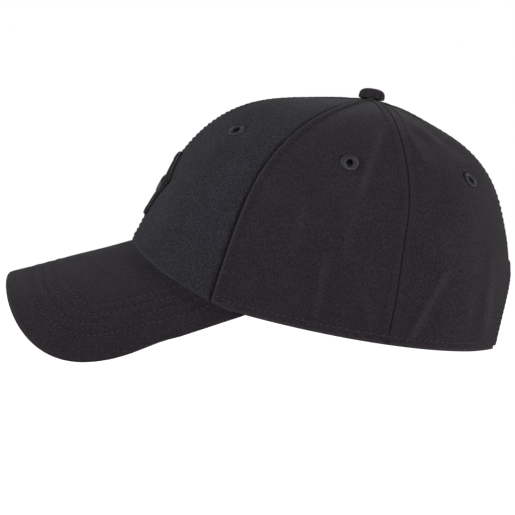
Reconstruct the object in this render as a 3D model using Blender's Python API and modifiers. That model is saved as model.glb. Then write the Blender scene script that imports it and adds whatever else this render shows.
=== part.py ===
"""Bump cap: a six-panel fabric cap with a curved peak, a rear size strap and a protective shell inside.

Metres, +Z up. The peak points to -Y and the wearer's left is +X. The cap stands on z = 0 on its rear rim
and on the two lobes of its peak. The crown is one smooth surface, crown(u, v): u is the angle round the
cap in degrees, 0 at the centre front, 90 at the wearer's left and 180 at the centre back, and v runs from
0 at the rim to 1 at the crown's top. Every layer of the cap is a patch of that surface at its own depth.
"""

from math import cos, pi, radians, sin, tan

import bmesh
import bpy
import numpy as np
from mathutils import Matrix, Vector
from mathutils.bvhtree import BVHTree

# ---- driving dimensions -------------------------------------------------------------------------------

# Rim: a superellipse in plan.
RIM_CENTRE_Y = 0.0308
RIM_HALF_LENGTH = 0.1019
RIM_HALF_WIDTH = 0.078
RIM_POWER = 2.6
RIM_FRONT_Y = RIM_CENTRE_Y - RIM_HALF_LENGTH
RIM_LOW_Z = 0.0072          # height of the rim's lowest stretch, near the back
RIM_LOW_Y = 0.115
RIM_RISE = 0.580            # how fast the free rim climbs towards the front
RIM_RISE_POWER = 1.6

# Peak: a sheet bent round an arch that slopes down to the front.
PEAK_ARCH_RADIUS = 0.0778
PEAK_SLOPE = radians(14.5)
PEAK_SEAM_Z = 0.0685        # height of the peak's seam at the centre front
PEAK_LENGTH = 0.0726        # along the slope, at the centre
PEAK_HALF_WIDTH = 0.106     # along the arch
PEAK_POWER = 2.55
PEAK_END_U = 76.0           # where the peak's seam ends on the rim
PEAK_END_Y = -0.004         # behind this the rim is free of the peak
PEAK_SIDE_BACK = 0.030      # the straight stretch of each side edge, behind the widest point
PEAK_DROP = 0.0004          # clearance between the crown's edge and the peak
PEAK_ROUND_SHARE = 0.86     # share of each half of the peak's edge that is the superellipse
PEAK_COVER = 0.0009
PEAK_BOARD = 0.0020
PEAK_BOARD_DEPTH = 0.0012
PEAK_BOARD_INSET = 0.0015
PEAK_LOWER_DEPTH = 0.0035

# Crown: meridians from the rim to the top, each given by the points above the rim.
APEX = (0.0, 0.0634, 0.1472)
MERIDIANS = {
    0: [
        (0.0, -0.0582, 0.0930), (0.0, -0.0440, 0.1165), (0.0, -0.0301, 0.1315),
        (0.0, -0.0052, 0.1450), (0.0, 0.0280, 0.1484), (0.0, 0.0500, 0.1483),
    ],
    30: [
        (0.0465, -0.0490, 0.0850), (0.0380, -0.0385, 0.1085), (0.0255, -0.0262, 0.1277),
        (0.0160, 0.0030, 0.1448), (0.0100, 0.0360, 0.1474),
    ],
    45: [
        (0.0630, -0.0325, 0.0820), (0.0540, -0.0235, 0.1065), (0.0410, -0.0085, 0.1283),
        (0.0280, 0.0065, 0.1415), (0.0170, 0.0370, 0.1463),
    ],
    60: [
        (0.0735, -0.0195, 0.0541), (0.0725, -0.0102, 0.0805), (0.0650, 0.0015, 0.1047),
        (0.0500, 0.0250, 0.1300), (0.0370, 0.0405, 0.1393), (0.0220, 0.0525, 0.1442),
    ],
    90: [
        (0.0795, 0.0180, 0.0500), (0.0780, 0.0270, 0.0800), (0.0690, 0.0375, 0.1080),
        (0.0520, 0.0495, 0.1290), (0.0320, 0.0580, 0.1410),
    ],
    120: [
        (0.0785, 0.0732, 0.0400), (0.0775, 0.0765, 0.0620), (0.0740, 0.0792, 0.0790),
        (0.0680, 0.0802, 0.0942), (0.0560, 0.0782, 0.1160), (0.0430, 0.0750, 0.1303),
        (0.0210, 0.0697, 0.1420),
    ],
    150: [
        (0.0585, 0.1165, 0.0450), (0.0570, 0.1160, 0.0720), (0.0500, 0.1125, 0.0975),
        (0.0375, 0.1025, 0.1175), (0.0220, 0.0885, 0.1335),
    ],
    180: [
        (0.0, 0.1406, 0.0480), (0.0, 0.1384, 0.0720), (0.0, 0.1303, 0.1020),
        (0.0, 0.1143, 0.1215), (0.0, 0.0943, 0.1345), (0.0, 0.0790, 0.1425),
    ],
}
LEVELS = 33

# Layers, as depths below the crown's outer surface.
FABRIC = 0.0012
LINING_DEPTH = 0.0018
LINING = 0.0006
FRONT_TAPE_DEPTH = 0.0030
TAPE = 0.0005
TAPE_HALF_WIDTH = 0.006
SEAM_GAP = 0.00030          # half the gap between neighbouring panels
SWEATBAND = 0.0020
SWEATBAND_HEIGHT = 0.027
SWEATBAND_FOOT = 0.0016      # height of its lower edge above the rim
SWEATBAND_END_U = 150.0
LOOP_DEPTH = 0.0029
HOOK_DEPTH = 0.0039
PATCH = 0.0006
SHELL_DEPTH = 0.0049
SHELL = 0.0020
SHELL_TOP_V = 0.90
PAD_DEPTH = 0.0077
CROWN_PAD_DEPTH = 0.0081    # deeper, because the shell bends most at its top
PAD = 0.0050
PANEL_TIP_V = 0.982

# Rear opening: half an ellipse, with a band of binding round it.
ARCH_HALF_WIDTH = 0.029
ARCH_HEIGHT = 0.040
ARCH_FOOT_Z = 0.0095
BINDING_WIDTH = 0.008
BINDING = 0.0022
BINDING_PROUD = 0.0003

# Size strap: bands on one upright axis.
STRAP_AXIS_Y = 0.0381
STRAP_LOW_Z = 0.0105
STRAP_HEIGHT = 0.0190
STRAP = 0.0008
STRAP_PATCH = 0.0006
STRAP_LEFT_RADIUS = 0.0890
STRAP_LOOP_RADIUS = 0.0899
STRAP_HOOK_RADIUS = 0.0908
STRAP_RIGHT_RADIUS = 0.0919
STRAP_END_ANGLE = 34.0

EYELETS = {
    "front": (0.0385, -0.0115, 0.1270),
    "side": (0.0640, 0.0480, 0.1075),
    "rear": (0.0420, 0.1130, 0.0990),
}
EYELET_HOLE = 0.0030
BACKING_ANGLES = (2.5, 56.5)
BACKING_HEIGHTS = (0.185, 0.90)
TAPE_TOP_V = 0.90

EMBLEM_HALF_WIDTH = 0.033
EMBLEM_HALF_HEIGHT = 0.0175
EMBLEM_Z = 0.0995
EMBLEM_BAND = 0.30          # width of the ring, as a share of its half size
EMBLEM_CENTRE = (0.26, 0.30)  # half sizes of the centre piece, as shares of the ring's
EMBLEM_THICKNESS = 0.0018
CLEARANCE = 0.0004

BUTTON_TILT = radians(8.7)
BUTTON_RADIUS = 0.0074
BUTTON_HEIGHT = 0.0058

STANCE_TILT = radians(1.44)  # settles the cap on its rear rim and its peak's lobes
STANCE_SINK = 0.00438
STANCE_BACK = 0.00101       # puts the origin under the middle of the cap's length

COLOURS = {
    "front_twill": ((0.030, 0.029, 0.036), 0.85),
    "side_twill": ((0.024, 0.019, 0.023), 0.88),
    "peak_twill": ((0.032, 0.027, 0.033), 0.85),
    "thread": ((0.10, 0.10, 0.12), 0.6),
    "satin": ((0.02, 0.02, 0.023), 0.35),
    "tape": ((0.02, 0.02, 0.022), 0.8),
    "sweatband": ((0.035, 0.035, 0.04), 0.9),
    "board": ((0.03, 0.03, 0.032), 0.5),
    "shell": ((0.03, 0.03, 0.032), 0.4),
    "foam": ((0.09, 0.09, 0.095), 0.95),
    "hook_and_loop": ((0.015, 0.015, 0.016), 0.95),
    "steel": ((0.6, 0.6, 0.6), 0.35),
}


# ---- curves and surfaces ------------------------------------------------------------------------------


def spline(knots, points, closed=False):
    """A cubic spline with even curvature through points at knots. A closed one ends on its first point."""
    knots = np.asarray(knots, float)
    points = np.asarray(points, float)
    step = np.diff(knots)
    slope = np.diff(points, axis=0) / step[:, None]
    last = len(knots) - 1
    system = np.eye(last + 1)
    bend = np.zeros_like(points)
    for i in range(1, last):
        system[i, i - 1 : i + 2] = step[i - 1], 2 * (step[i - 1] + step[i]), step[i]
        bend[i] = 6 * (slope[i] - slope[i - 1])
    if closed:
        system[0, last] = -1
        system[last] = 0
        system[last, [last - 1, 0, 1]] = step[-1], 2 * (step[-1] + step[0]), step[0]
        bend[last] = 6 * (slope[0] - slope[-1])
    bend = np.linalg.solve(system, bend)

    def at(where):
        where = np.atleast_1d(where)
        i = np.clip(np.searchsorted(knots, where, side="right") - 1, 0, last - 1)
        width = step[i][:, None]
        right = (where - knots[i])[:, None] / width
        left = 1 - right
        curve = (left**3 - left) * bend[i] + (right**3 - right) * bend[i + 1]
        return left * points[i] + right * points[i + 1] + curve * width**2 / 6

    return at


def arch_drop(x):
    """How far the peak's arch has fallen at a distance x from the centre line."""
    return PEAK_ARCH_RADIUS - np.sqrt(PEAK_ARCH_RADIUS**2 - np.minimum(np.abs(x), PEAK_ARCH_RADIUS) ** 2)


def rim(u):
    """Points of the rim at the angles u: on the peak in front, and a gently falling curve behind it."""
    turn = np.radians(u)
    around = turn - radians(7.1) * np.sin(turn) + radians(9.64) * np.sin(2 * turn)
    x = RIM_HALF_WIDTH * np.sign(np.sin(around)) * np.abs(np.sin(around)) ** (2 / RIM_POWER)
    y = RIM_CENTRE_Y - RIM_HALF_LENGTH * np.sign(np.cos(around)) * np.abs(np.cos(around)) ** (2 / RIM_POWER)
    on_peak = PEAK_SEAM_Z + (y - RIM_FRONT_Y) * tan(PEAK_SLOPE) - arch_drop(x)
    free = RIM_LOW_Z + RIM_RISE * np.abs(RIM_LOW_Y - y) ** RIM_RISE_POWER
    z = np.where(y < PEAK_END_Y, np.maximum(on_peak, free), free)
    return np.stack([x, y, z], axis=1)


def even_points(points):
    """A spline through points, read at LEVELS places that are evenly spaced along its length."""
    points = np.asarray(points, float)
    chord = np.concatenate([[0], np.cumsum(np.linalg.norm(np.diff(points, axis=0), axis=1))])
    curve = spline(chord, points)
    fine = np.linspace(0, chord[-1], 400)
    length = np.concatenate([[0], np.cumsum(np.linalg.norm(np.diff(curve(fine), axis=0), axis=1))])
    return curve(np.interp(np.linspace(0, length[-1], LEVELS), length, fine))


ANGLES = np.array(sorted({side * angle for angle in MERIDIANS for side in (-1, 1)}))


def meridian(angle):
    """The crown's line at an angle, from the rim to the top; the right side mirrors the left."""
    side = -1 if angle < 0 else 1
    rise = [(side * x, y, z) for x, y, z in MERIDIANS[abs(angle)]]
    return even_points([tuple(rim(np.array([float(angle)]))[0]), *rise, APEX])


round_crown = spline(ANGLES, np.eye(len(ANGLES))[[*range(len(ANGLES) - 1), 0]], closed=True)
up_crown = spline(
    np.linspace(0, 1, LEVELS), np.stack([meridian(a) for a in ANGLES], axis=1).reshape(LEVELS, -1)
)


def crown_surface(u, v):
    """Points of the crown's outer surface, whose lower edge is exactly the rim."""
    share = round_crown((u + 180) % 360 - 180)
    share[:, 0] += share[:, -1]
    share[:, -1] = 0

    def plain(height):
        lines = up_crown(height).reshape(len(u), len(ANGLES), 3)
        return np.einsum("nk,nkc->nc", share, lines)

    fade = (1 - v)[:, None] ** 4
    return plain(v) + fade * (rim(u) - plain(np.zeros(len(u))))


def crown(u, v, depth=0.0):
    """Points of the crown at a depth below its outer surface."""
    u = np.asarray(u, float)
    v = np.clip(np.asarray(v, float), 0, 0.999)
    across = crown_surface(u + 0.1, v) - crown_surface(u - 0.1, v)
    up = crown_surface(u, np.minimum(v + 0.001, 1)) - crown_surface(u, np.maximum(v - 0.001, 0))
    normal = np.cross(across, up)
    normal /= np.linalg.norm(normal, axis=1)[:, None]
    return crown_surface(u, v) - normal * depth


def meridian_length(u):
    """Length of the crown's line at each angle u."""
    heights = np.linspace(0, 0.999, 40)
    lines = np.stack([crown_surface(u, np.full(len(u), v)) for v in heights])
    return np.linalg.norm(np.diff(lines, axis=0), axis=2).sum(axis=0)


def peak_surface(along, ahead, depth=0.0):
    """Points of the peak: along its arch from the centre line, and ahead of its seam down the slope."""
    turn = np.asarray(along) / PEAK_ARCH_RADIUS
    ahead = np.asarray(ahead)
    x = PEAK_ARCH_RADIUS * np.sin(turn)
    y = RIM_FRONT_Y - ahead * cos(PEAK_SLOPE)
    z = PEAK_SEAM_Z - PEAK_DROP - ahead * sin(PEAK_SLOPE) - PEAK_ARCH_RADIUS * (1 - np.cos(turn))
    slope = cos(PEAK_SLOPE)
    normal = np.stack([np.sin(turn) * slope, -np.cos(turn) * sin(PEAK_SLOPE), np.cos(turn) * slope], axis=-1)
    normal /= np.linalg.norm(normal, axis=-1)[..., None]
    return np.stack([x, y, z], axis=-1) - normal * depth


# ---- making objects -----------------------------------------------------------------------------------


def start_model():
    """Empty the scene, and make the collections and the empty that everything hangs from."""
    for old in list(bpy.data.objects):
        bpy.data.objects.remove(old, do_unlink=True)
    stance = bpy.data.objects.new("stance", None)
    stance.rotation_euler.x = -STANCE_TILT
    stance.location = (0, -STANCE_BACK, -STANCE_SINK)
    for name in ("bump_cap", "cutters"):
        collection = bpy.data.collections.new(name)
        bpy.context.scene.collection.children.link(collection)
    bpy.data.collections["bump_cap"].objects.link(stance)
    return stance


def material(name):
    """The named material, made once."""
    if name in bpy.data.materials:
        return bpy.data.materials[name]
    colour, roughness = COLOURS[name]
    made = bpy.data.materials.new(name)
    made.use_nodes = True
    shader = made.node_tree.nodes["Principled BSDF"]
    shader.inputs["Base Color"].default_value = (*colour, 1)
    shader.inputs["Roughness"].default_value = roughness
    shader.inputs["Metallic"].default_value = 1.0 if name == "steel" else 0.0
    made.diffuse_color = (*colour, 1)
    return made


def add_part(name, mesh_or_bmesh, finish, collection="bump_cap"):
    """An object in the model, hung from the stance empty."""
    mesh = mesh_or_bmesh
    if isinstance(mesh, bmesh.types.BMesh):
        mesh = bpy.data.meshes.new(name)
        mesh_or_bmesh.to_mesh(mesh)
        mesh_or_bmesh.free()
    part = bpy.data.objects.new(name, mesh)
    bpy.data.collections[collection].objects.link(part)
    part.parent = bpy.data.objects["stance"]
    if finish:
        mesh.materials.append(material(finish))
        mesh.shade_smooth()
        mesh.set_sharp_from_angle(angle=radians(40))
    return part


def thicken(part, thickness, outward=False):
    """Give a sheet its thickness, into the cap or out of it."""
    solid = part.modifiers.new("thickness", "SOLIDIFY")
    solid.thickness = thickness
    solid.offset = 1.0 if outward else -1.0
    return part


def cut(part, cutter):
    """Cut a part with a cutter."""
    boolean = part.modifiers.new("cut", "BOOLEAN")
    boolean.operation = "DIFFERENCE"
    boolean.solver = "EXACT"
    boolean.object = cutter


def add_cutter(name, shape):
    """A closed shape that only cuts."""
    cutter = add_part(name, shape, None, "cutters")
    cutter.hide_render = True
    cutter.display_type = "WIRE"
    return cutter


def mapped_grid(columns, rows, place):
    """A grid sheet, its corners (0, 0) to (1, 1) sent through place(across, up), which takes arrays."""
    sheet = bmesh.new()
    bmesh.ops.create_grid(sheet, x_segments=columns, y_segments=rows, size=1)
    across = np.array([(vert.co.x + 1) / 2 for vert in sheet.verts])
    up = np.array([(vert.co.y + 1) / 2 for vert in sheet.verts])
    for vert, point in zip(sheet.verts, place(across, up)):
        vert.co = point
    return sheet


def crown_patch(angles, heights, columns, rows, depth=0.0, gap=0.0):
    """A patch of the crown between two angles. Each height is a number or a function of the angle."""

    def place(across, up):
        u = angles[0] + (angles[1] - angles[0]) * across
        low, high = [h(u) if callable(h) else np.full(len(u), h) for h in heights]
        v = low + (high - low) * up
        wide = np.linalg.norm(crown_surface(u + 0.5, v) - crown_surface(u - 0.5, v), axis=1)
        return crown(u + gap * (1 - 2 * across) / wide, v, depth)

    return mapped_grid(columns, rows, place)


def fine_crown():
    """A fine net of the crown's outer surface, to find the place below or beside a point."""
    net = crown_patch((-180, 180), (0.0, 0.995), 144, 60)
    net.normal_update()
    tree = BVHTree.FromBMesh(net)
    net.free()
    return tree


def onto_crown(net, points, direction, depth):
    """Send points along a direction until they meet the crown, then down to a depth below its surface."""
    found = []
    for point in points:
        hit, normal, _, _ = net.ray_cast(Vector(point), Vector(direction))
        found.append(hit - normal * depth)
    return found


# ---- fabric cap ---------------------------------------------------------------------------------------


def add_panels(arch_cutter, eyelet_cutters):
    """Six panels, with the eyelets' holes and, at the back, the opening."""
    spans = {"front": (0, 60), "side": (60, 120), "rear": (120, 180)}
    finishes = {"front": "front_twill", "side": "side_twill", "rear": "side_twill"}
    for place, (near, far) in spans.items():
        for side, angles in {"left": (near, far), "right": (-far, -near)}.items():
            sheet = crown_patch(angles, (0.0, PANEL_TIP_V), 9, 18, gap=SEAM_GAP)
            panel = thicken(add_part(f"{place}_panel_{side}", sheet, finishes[place]), FABRIC)
            cut(panel, eyelet_cutters[place, side])
            if place == "rear":
                cut(panel, arch_cutter)


def add_lining():
    """Backing behind the front panels, tapes over the seams and the sweatband round the rim."""
    near, far = BACKING_ANGLES
    for side, angles in {"left": (near, far), "right": (-far, -near)}.items():
        sheet = crown_patch(angles, BACKING_HEIGHTS, 7, 14, LINING_DEPTH)
        thicken(add_part(f"front_backing_{side}", sheet, "tape"), LINING)
    tapes = {
        "front_centre": (0, 0.19, FRONT_TAPE_DEPTH),
        "front_left": (60, 0.19, FRONT_TAPE_DEPTH),
        "front_right": (-60, 0.19, FRONT_TAPE_DEPTH),
        "rear_left": (120, 0.19, LINING_DEPTH),
        "rear_right": (-120, 0.19, LINING_DEPTH),
        "rear_centre": (180, 0.42, FRONT_TAPE_DEPTH),
    }
    for name, (angle, low, depth) in tapes.items():
        add_tape(f"seam_tape_{name}", angle, low, depth)

    def top(u):
        return SWEATBAND_HEIGHT / meridian_length(u)

    def bottom(u):
        return SWEATBAND_FOOT / meridian_length(u)

    ends = (-SWEATBAND_END_U, SWEATBAND_END_U)
    band = crown_patch(ends, (bottom, top), 44, 2, LINING_DEPTH)
    thicken(add_part("sweatband", band, "sweatband"), SWEATBAND)


def add_tape(name, angle, low, depth):
    """A strip of even width over one seam."""

    def place(across, up):
        v = low + (TAPE_TOP_V - low) * up
        u = np.full(len(v), float(angle))
        wide = np.linalg.norm(crown_surface(u + 0.5, v) - crown_surface(u - 0.5, v), axis=1)
        return crown(u + TAPE_HALF_WIDTH * (2 * across - 1) / wide, v, depth)

    thicken(add_part(name, mapped_grid(1, 18, place), "tape"), TAPE)


def add_peak():
    """Under cover, board and upper cover of the peak, stacked along the arch's normal."""

    def outline(t, inset):
        size = np.minimum(np.abs(t) / PEAK_ROUND_SHARE, 1) * pi / 2
        along = (PEAK_HALF_WIDTH - inset) * np.sin(size) ** (2 / PEAK_POWER)
        ahead = (PEAK_LENGTH - inset) * np.abs(np.cos(size)) ** (2 / PEAK_POWER)
        back = np.clip((np.abs(t) - PEAK_ROUND_SHARE) / (1 - PEAK_ROUND_SHARE), 0, 1)
        return np.sign(t) * along, np.where(back > 0, -PEAK_SIDE_BACK * back, ahead)

    def seam(t, inset):
        point = rim(t * PEAK_END_U)
        along = PEAK_ARCH_RADIUS * np.arcsin(point[:, 0] / PEAK_ARCH_RADIUS)
        ahead = (RIM_FRONT_Y - point[:, 1]) / cos(PEAK_SLOPE)
        return along - np.sign(t) * inset * np.abs(t) ** 6, ahead + inset * (1 - np.abs(t) ** 6)

    layers = {
        "peak_upper_cover": (0.0, PEAK_COVER, 0.0, "peak_twill"),
        "peak_board": (PEAK_BOARD_DEPTH, PEAK_BOARD, PEAK_BOARD_INSET, "board"),
        "peak_lower_cover": (PEAK_LOWER_DEPTH, PEAK_COVER, 0.0, "peak_twill"),
    }
    for name, (depth, thickness, inset, finish) in layers.items():

        def place(across, up, depth=depth, inset=inset):
            t = 2 * across - 1
            near, far = seam(t, inset), outline(t, inset)
            along = near[0] + (far[0] - near[0]) * (1 - up)
            ahead = near[1] + (far[1] - near[1]) * (1 - up)
            return peak_surface(along, ahead, depth)

        thicken(add_part(name, mapped_grid(26, 6, place), finish), thickness)


# ---- trim ---------------------------------------------------------------------------------------------


def turned(name, profile, steps, finish, placing):
    """A profile of (radius, height) points, from the top down its outer side, turned about the Z axis."""
    shape = bmesh.new()
    verts = [shape.verts.new((radius, 0, height)) for radius, height in profile]
    closed = profile[0][0] > 0
    for first, second in zip(verts, verts[1:] + ([verts[0]] if closed else [])):
        shape.edges.new((first, second))
    part = add_part(name, shape, finish)
    screw = part.modifiers.new("turn", "SCREW")
    screw.steps = screw.render_steps = steps
    screw.use_merge_vertices = True
    screw.merge_threshold = 0.00001
    part.matrix_local = placing
    return part


def eyelet_place(net, place, side):
    """Where an eyelet sits: on the crown, its axis along the surface's normal."""
    x, y, z = EYELETS[place]
    point, normal, _, _ = net.find_nearest(Vector((x if side == "left" else -x, y, z)))
    turn = normal.to_track_quat("Z", "Y")
    return Matrix.Translation(point) @ turn.to_matrix().to_4x4()


def add_eyelet_cutters(net):
    """Cutters for the holes that the eyelets sit in."""
    cutters = {}
    for place in EYELETS:
        for side in ("left", "right"):
            shape = bmesh.new()
            bmesh.ops.create_cone(
                shape, cap_ends=True, segments=16, radius1=EYELET_HOLE, radius2=EYELET_HOLE, depth=0.008
            )
            cutter = add_cutter(f"eyelet_cutter_{place}_{side}", shape)
            cutter.matrix_local = eyelet_place(net, place, side)
            cutters[place, side] = cutter
    return cutters


def add_eyelets(net):
    """Six stitched eyelets: a flange outside the fabric and a collar through it."""
    profile = [
        (0.0030, 0.0013),
        (0.0045, 0.0011),
        (0.0050, 0.0005),
        (0.0026, 0.0004),
        (0.0026, -0.0014),
        (0.0015, -0.0014),
        (0.0015, 0.0010),
    ]
    for place in EYELETS:
        for side in ("left", "right"):
            turned(f"eyelet_{place}_{side}", profile, 14, "thread", eyelet_place(net, place, side))


def add_button():
    """The covered button on top, the post through the crown and the washer that holds it."""
    place = Matrix.Translation(APEX) @ Matrix.Rotation(-BUTTON_TILT, 4, "X")
    foot = 0.0005
    top = foot + BUTTON_HEIGHT
    dome = [
        (0.0, top),
        (0.35 * BUTTON_RADIUS, top - 0.0003),
        (0.68 * BUTTON_RADIUS, top - 0.0014),
        (0.92 * BUTTON_RADIUS, top - 0.0034),
        (BUTTON_RADIUS, foot + 0.0008),
        (0.94 * BUTTON_RADIUS, foot),
        (0.0019, foot),
        (0.0019, foot + 0.0036),
        (0.0, foot + 0.0036),
    ]
    turned("top_button", dome, 24, "side_twill", place)
    post = [(0.0, 0.0036), (0.0015, 0.0036), (0.0015, -0.0058), (0.0, -0.0058)]
    turned("button_post", post, 14, "steel", place)
    washer = [(0.0060, -0.0042), (0.0060, -0.0052), (0.0019, -0.0052), (0.0019, -0.0042)]
    turned("button_back", washer, 20, "steel", place)


def add_emblem(net):
    """A plain raised hexagon: a ring and a centre piece, laid on the front of the crown."""
    corners = [Vector((cos(radians(60 * k)), sin(radians(60 * k)))) for k in range(7)]

    def edge_point(share):
        side = min(int(share * 6), 5)
        flat = corners[side].lerp(corners[side + 1], share * 6 - side)
        return flat.x * EMBLEM_HALF_WIDTH, flat.y / sin(radians(60)) * EMBLEM_HALF_HEIGHT

    def lay(points):
        spots = [(x, -0.2, EMBLEM_Z + z) for x, z in points]
        return onto_crown(net, spots, (0, 1, 0), -CLEARANCE)

    def place(across, up):
        scale = 1 - EMBLEM_BAND * up
        return lay([(x * s, z * s) for (x, z), s in zip(map(edge_point, across), scale)])

    ring = mapped_grid(36, 2, place)
    bmesh.ops.remove_doubles(ring, verts=ring.verts, dist=0.00001)
    bmesh.ops.recalc_face_normals(ring, faces=ring.faces)
    face_front(ring)
    thicken(add_part("emblem_ring", ring, "satin"), EMBLEM_THICKNESS, outward=True)

    centre = bmesh.new()
    bmesh.ops.create_circle(centre, cap_ends=True, cap_tris=True, segments=24, radius=1)
    wide = EMBLEM_CENTRE[0] * EMBLEM_HALF_WIDTH
    high = EMBLEM_CENTRE[1] * EMBLEM_HALF_HEIGHT
    spots = [(vert.co.x * wide, vert.co.y * high) for vert in centre.verts]
    for vert, point in zip(centre.verts, lay(spots)):
        vert.co = point
    face_front(centre)
    thicken(add_part("emblem_centre", centre, "satin"), EMBLEM_THICKNESS, outward=True)


def face_front(sheet):
    """Turn a sheet's faces so that they look forward."""
    sheet.normal_update()
    if sum(face.normal.y for face in sheet.faces) > 0:
        bmesh.ops.reverse_faces(sheet, faces=sheet.faces)


# ---- rear opening and strap ---------------------------------------------------------------------------


def add_arch_cutter():
    """An elliptical bar along Y that opens the back of the crown, out to the binding's outer edge."""
    shape = bmesh.new()
    bmesh.ops.create_cone(shape, cap_ends=True, segments=56, radius1=1, radius2=1, depth=0.12)
    reach = BINDING_WIDTH + 0.0003
    widen = Matrix.Diagonal((ARCH_HALF_WIDTH + reach, ARCH_HEIGHT + reach, 1, 1))
    turn = Matrix.Rotation(radians(90), 4, "X")
    stand = Matrix.Translation((0, 0.12, ARCH_FOOT_Z))
    bmesh.ops.transform(shape, matrix=stand @ turn @ widen, verts=shape.verts)
    return add_cutter("arch_cutter", shape)


def add_binding(net):
    """The band of tape round the rear opening."""

    def place(across, up):
        turn = pi * across
        wide = ARCH_HALF_WIDTH + BINDING_WIDTH * up
        high = ARCH_HEIGHT + BINDING_WIDTH * up
        spots = [(-x, 0.3, ARCH_FOOT_Z + z) for x, z in zip(wide * np.cos(turn), high * np.sin(turn))]
        return onto_crown(net, spots, (0, -1, 0), -BINDING_PROUD)

    sheet = mapped_grid(26, 2, place)
    sheet.normal_update()
    if sum(face.normal.y for face in sheet.faces) < 0:
        bmesh.ops.reverse_faces(sheet, faces=sheet.faces)
    thicken(add_part("rear_arch_binding", sheet, "tape"), BINDING)


def strap_band(name, radius, angles, low, high, thickness, finish):
    """A band round the strap's axis, between two angles from the centre back; + is the wearer's left."""

    def place(across, up):
        turn = np.radians(angles[1] + (angles[0] - angles[1]) * across)
        z = low + (high - low) * up
        return np.stack([radius * np.sin(turn), STRAP_AXIS_Y + radius * np.cos(turn), z], axis=1)

    columns = max(6, round((angles[1] - angles[0]) / 3.5))
    return thicken(add_part(name, mapped_grid(columns, 1, place), finish), thickness)


def add_strap():
    """The two halves of the size strap, with the loop and hook patches between them."""
    low, high = STRAP_LOW_Z, STRAP_LOW_Z + STRAP_HEIGHT
    edge = 0.0015
    strap_band("strap_left", STRAP_LEFT_RADIUS, (-10, STRAP_END_ANGLE), low, high, STRAP, "tape")
    patch = (low + edge, high - edge, STRAP_PATCH, "hook_and_loop")
    strap_band("strap_loop_patch", STRAP_LOOP_RADIUS, (-9, 16), *patch)
    strap_band("strap_hook_patch", STRAP_HOOK_RADIUS, (-7, 10), *patch)
    strap_band("strap_right", STRAP_RIGHT_RADIUS, (-STRAP_END_ANGLE, 12), low, high, STRAP, "tape")


# ---- insert -------------------------------------------------------------------------------------------


def shell_edge(u):
    """Height of the shell's lower edge, as a share of the crown's: low in front and high behind."""
    turn = np.radians(u)
    return 0.325 - 0.095 * np.cos(turn) + 0.012 * (1 - np.cos(2 * turn)) / 2


def add_shell():
    """The vented shell: a ring of the crown's shape, with slots cut out of it."""
    columns, rows = 48, 12
    sheet = crown_patch((-180, 180), (shell_edge, SHELL_TOP_V), columns, rows, SHELL_DEPTH)
    bmesh.ops.remove_doubles(sheet, verts=sheet.verts, dist=0.00001)
    sheet.faces.ensure_lookup_table()
    slots = [sheet.faces[row * columns + column] for row in range(4, 9) for column in range(2, columns, 4)]
    bmesh.ops.delete(sheet, geom=slots, context="FACES")
    thicken(add_part("protective_shell", sheet, "shell"), SHELL)


def add_pads(net):
    """Foam pads on the shell's inner side."""

    def above(share):
        return lambda u: shell_edge(u) + share

    bands = {
        "front_pad": ((-34, 34), (above(0.02), above(0.17)), 12),
        "side_pad_left": ((66, 114), (above(0.02), above(0.15)), 8),
        "side_pad_right": ((-114, -66), (above(0.02), above(0.15)), 8),
        "rear_pad": ((146, 214), (above(0.02), above(0.15)), 12),
    }
    for name, (angles, heights, columns) in bands.items():
        thicken(add_part(name, crown_patch(angles, heights, columns, 3, PAD_DEPTH), "foam"), PAD)

    def place(across, up):
        spots = [(0.052 * (a - 0.5), 0.042 + 0.070 * (b - 0.5), 0.3) for a, b in zip(across, up)]
        return onto_crown(net, spots, (0, 0, -1), CROWN_PAD_DEPTH)

    thicken(add_part("crown_pad", mapped_grid(7, 9, place), "foam"), PAD)


def add_patches():
    """Loop patches on the crown's lining, and the hook patches on the shell that face them."""
    for place, angle, low in (("front", 32, 0.36), ("rear", 150, 0.47)):
        for side, sign in (("left", 1), ("right", -1)):
            angles = (sign * angle - 8, sign * angle + 8)
            for kind, depth in (("loop", LOOP_DEPTH), ("hook", HOOK_DEPTH)):
                sheet = crown_patch(angles, (low, low + 0.10), 3, 3, depth)
                thicken(add_part(f"{kind}_patch_{place}_{side}", sheet, "hook_and_loop"), PATCH)


def flatten_stance():
    """Cut what would reach below z = 0, which gives the cap its flat resting faces."""
    shape = bmesh.new()
    bmesh.ops.create_cube(shape, size=1)
    bmesh.ops.transform(shape, matrix=Matrix.Diagonal((0.4, 0.5, 0.02, 1)), verts=shape.verts)
    table = add_cutter("table_cutter", shape)
    table.parent = None
    table.location.z = -0.01
    for name in ("rear_panel_left", "rear_panel_right", "peak_upper_cover", "peak_board", "peak_lower_cover"):
        cut(bpy.data.objects[name], table)


def main():
    start_model()
    net = fine_crown()
    add_panels(add_arch_cutter(), add_eyelet_cutters(net))
    add_lining()
    add_peak()
    add_eyelets(net)
    add_button()
    add_emblem(net)
    add_binding(net)
    add_strap()
    add_shell()
    add_pads(net)
    add_patches()
    flatten_stance()


main()
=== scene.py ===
"""Looks of the bump cap: twill panels, stitched peak, trim, strap, and the padded shell inside.

The shapes are those of the CAD model, repeated here in its own untilted frame and then set in its stance.
Metres, +Z up. The peak points to -Y and the wearer's left is +X.
"""

from math import cos, pi, radians, sin, tan  # noqa: E402

import bmesh  # noqa: E402
import bpy  # noqa: E402
import numpy as np  # noqa: E402
from mathutils import Matrix, Vector  # noqa: E402
from mathutils.bvhtree import BVHTree  # noqa: E402

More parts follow.
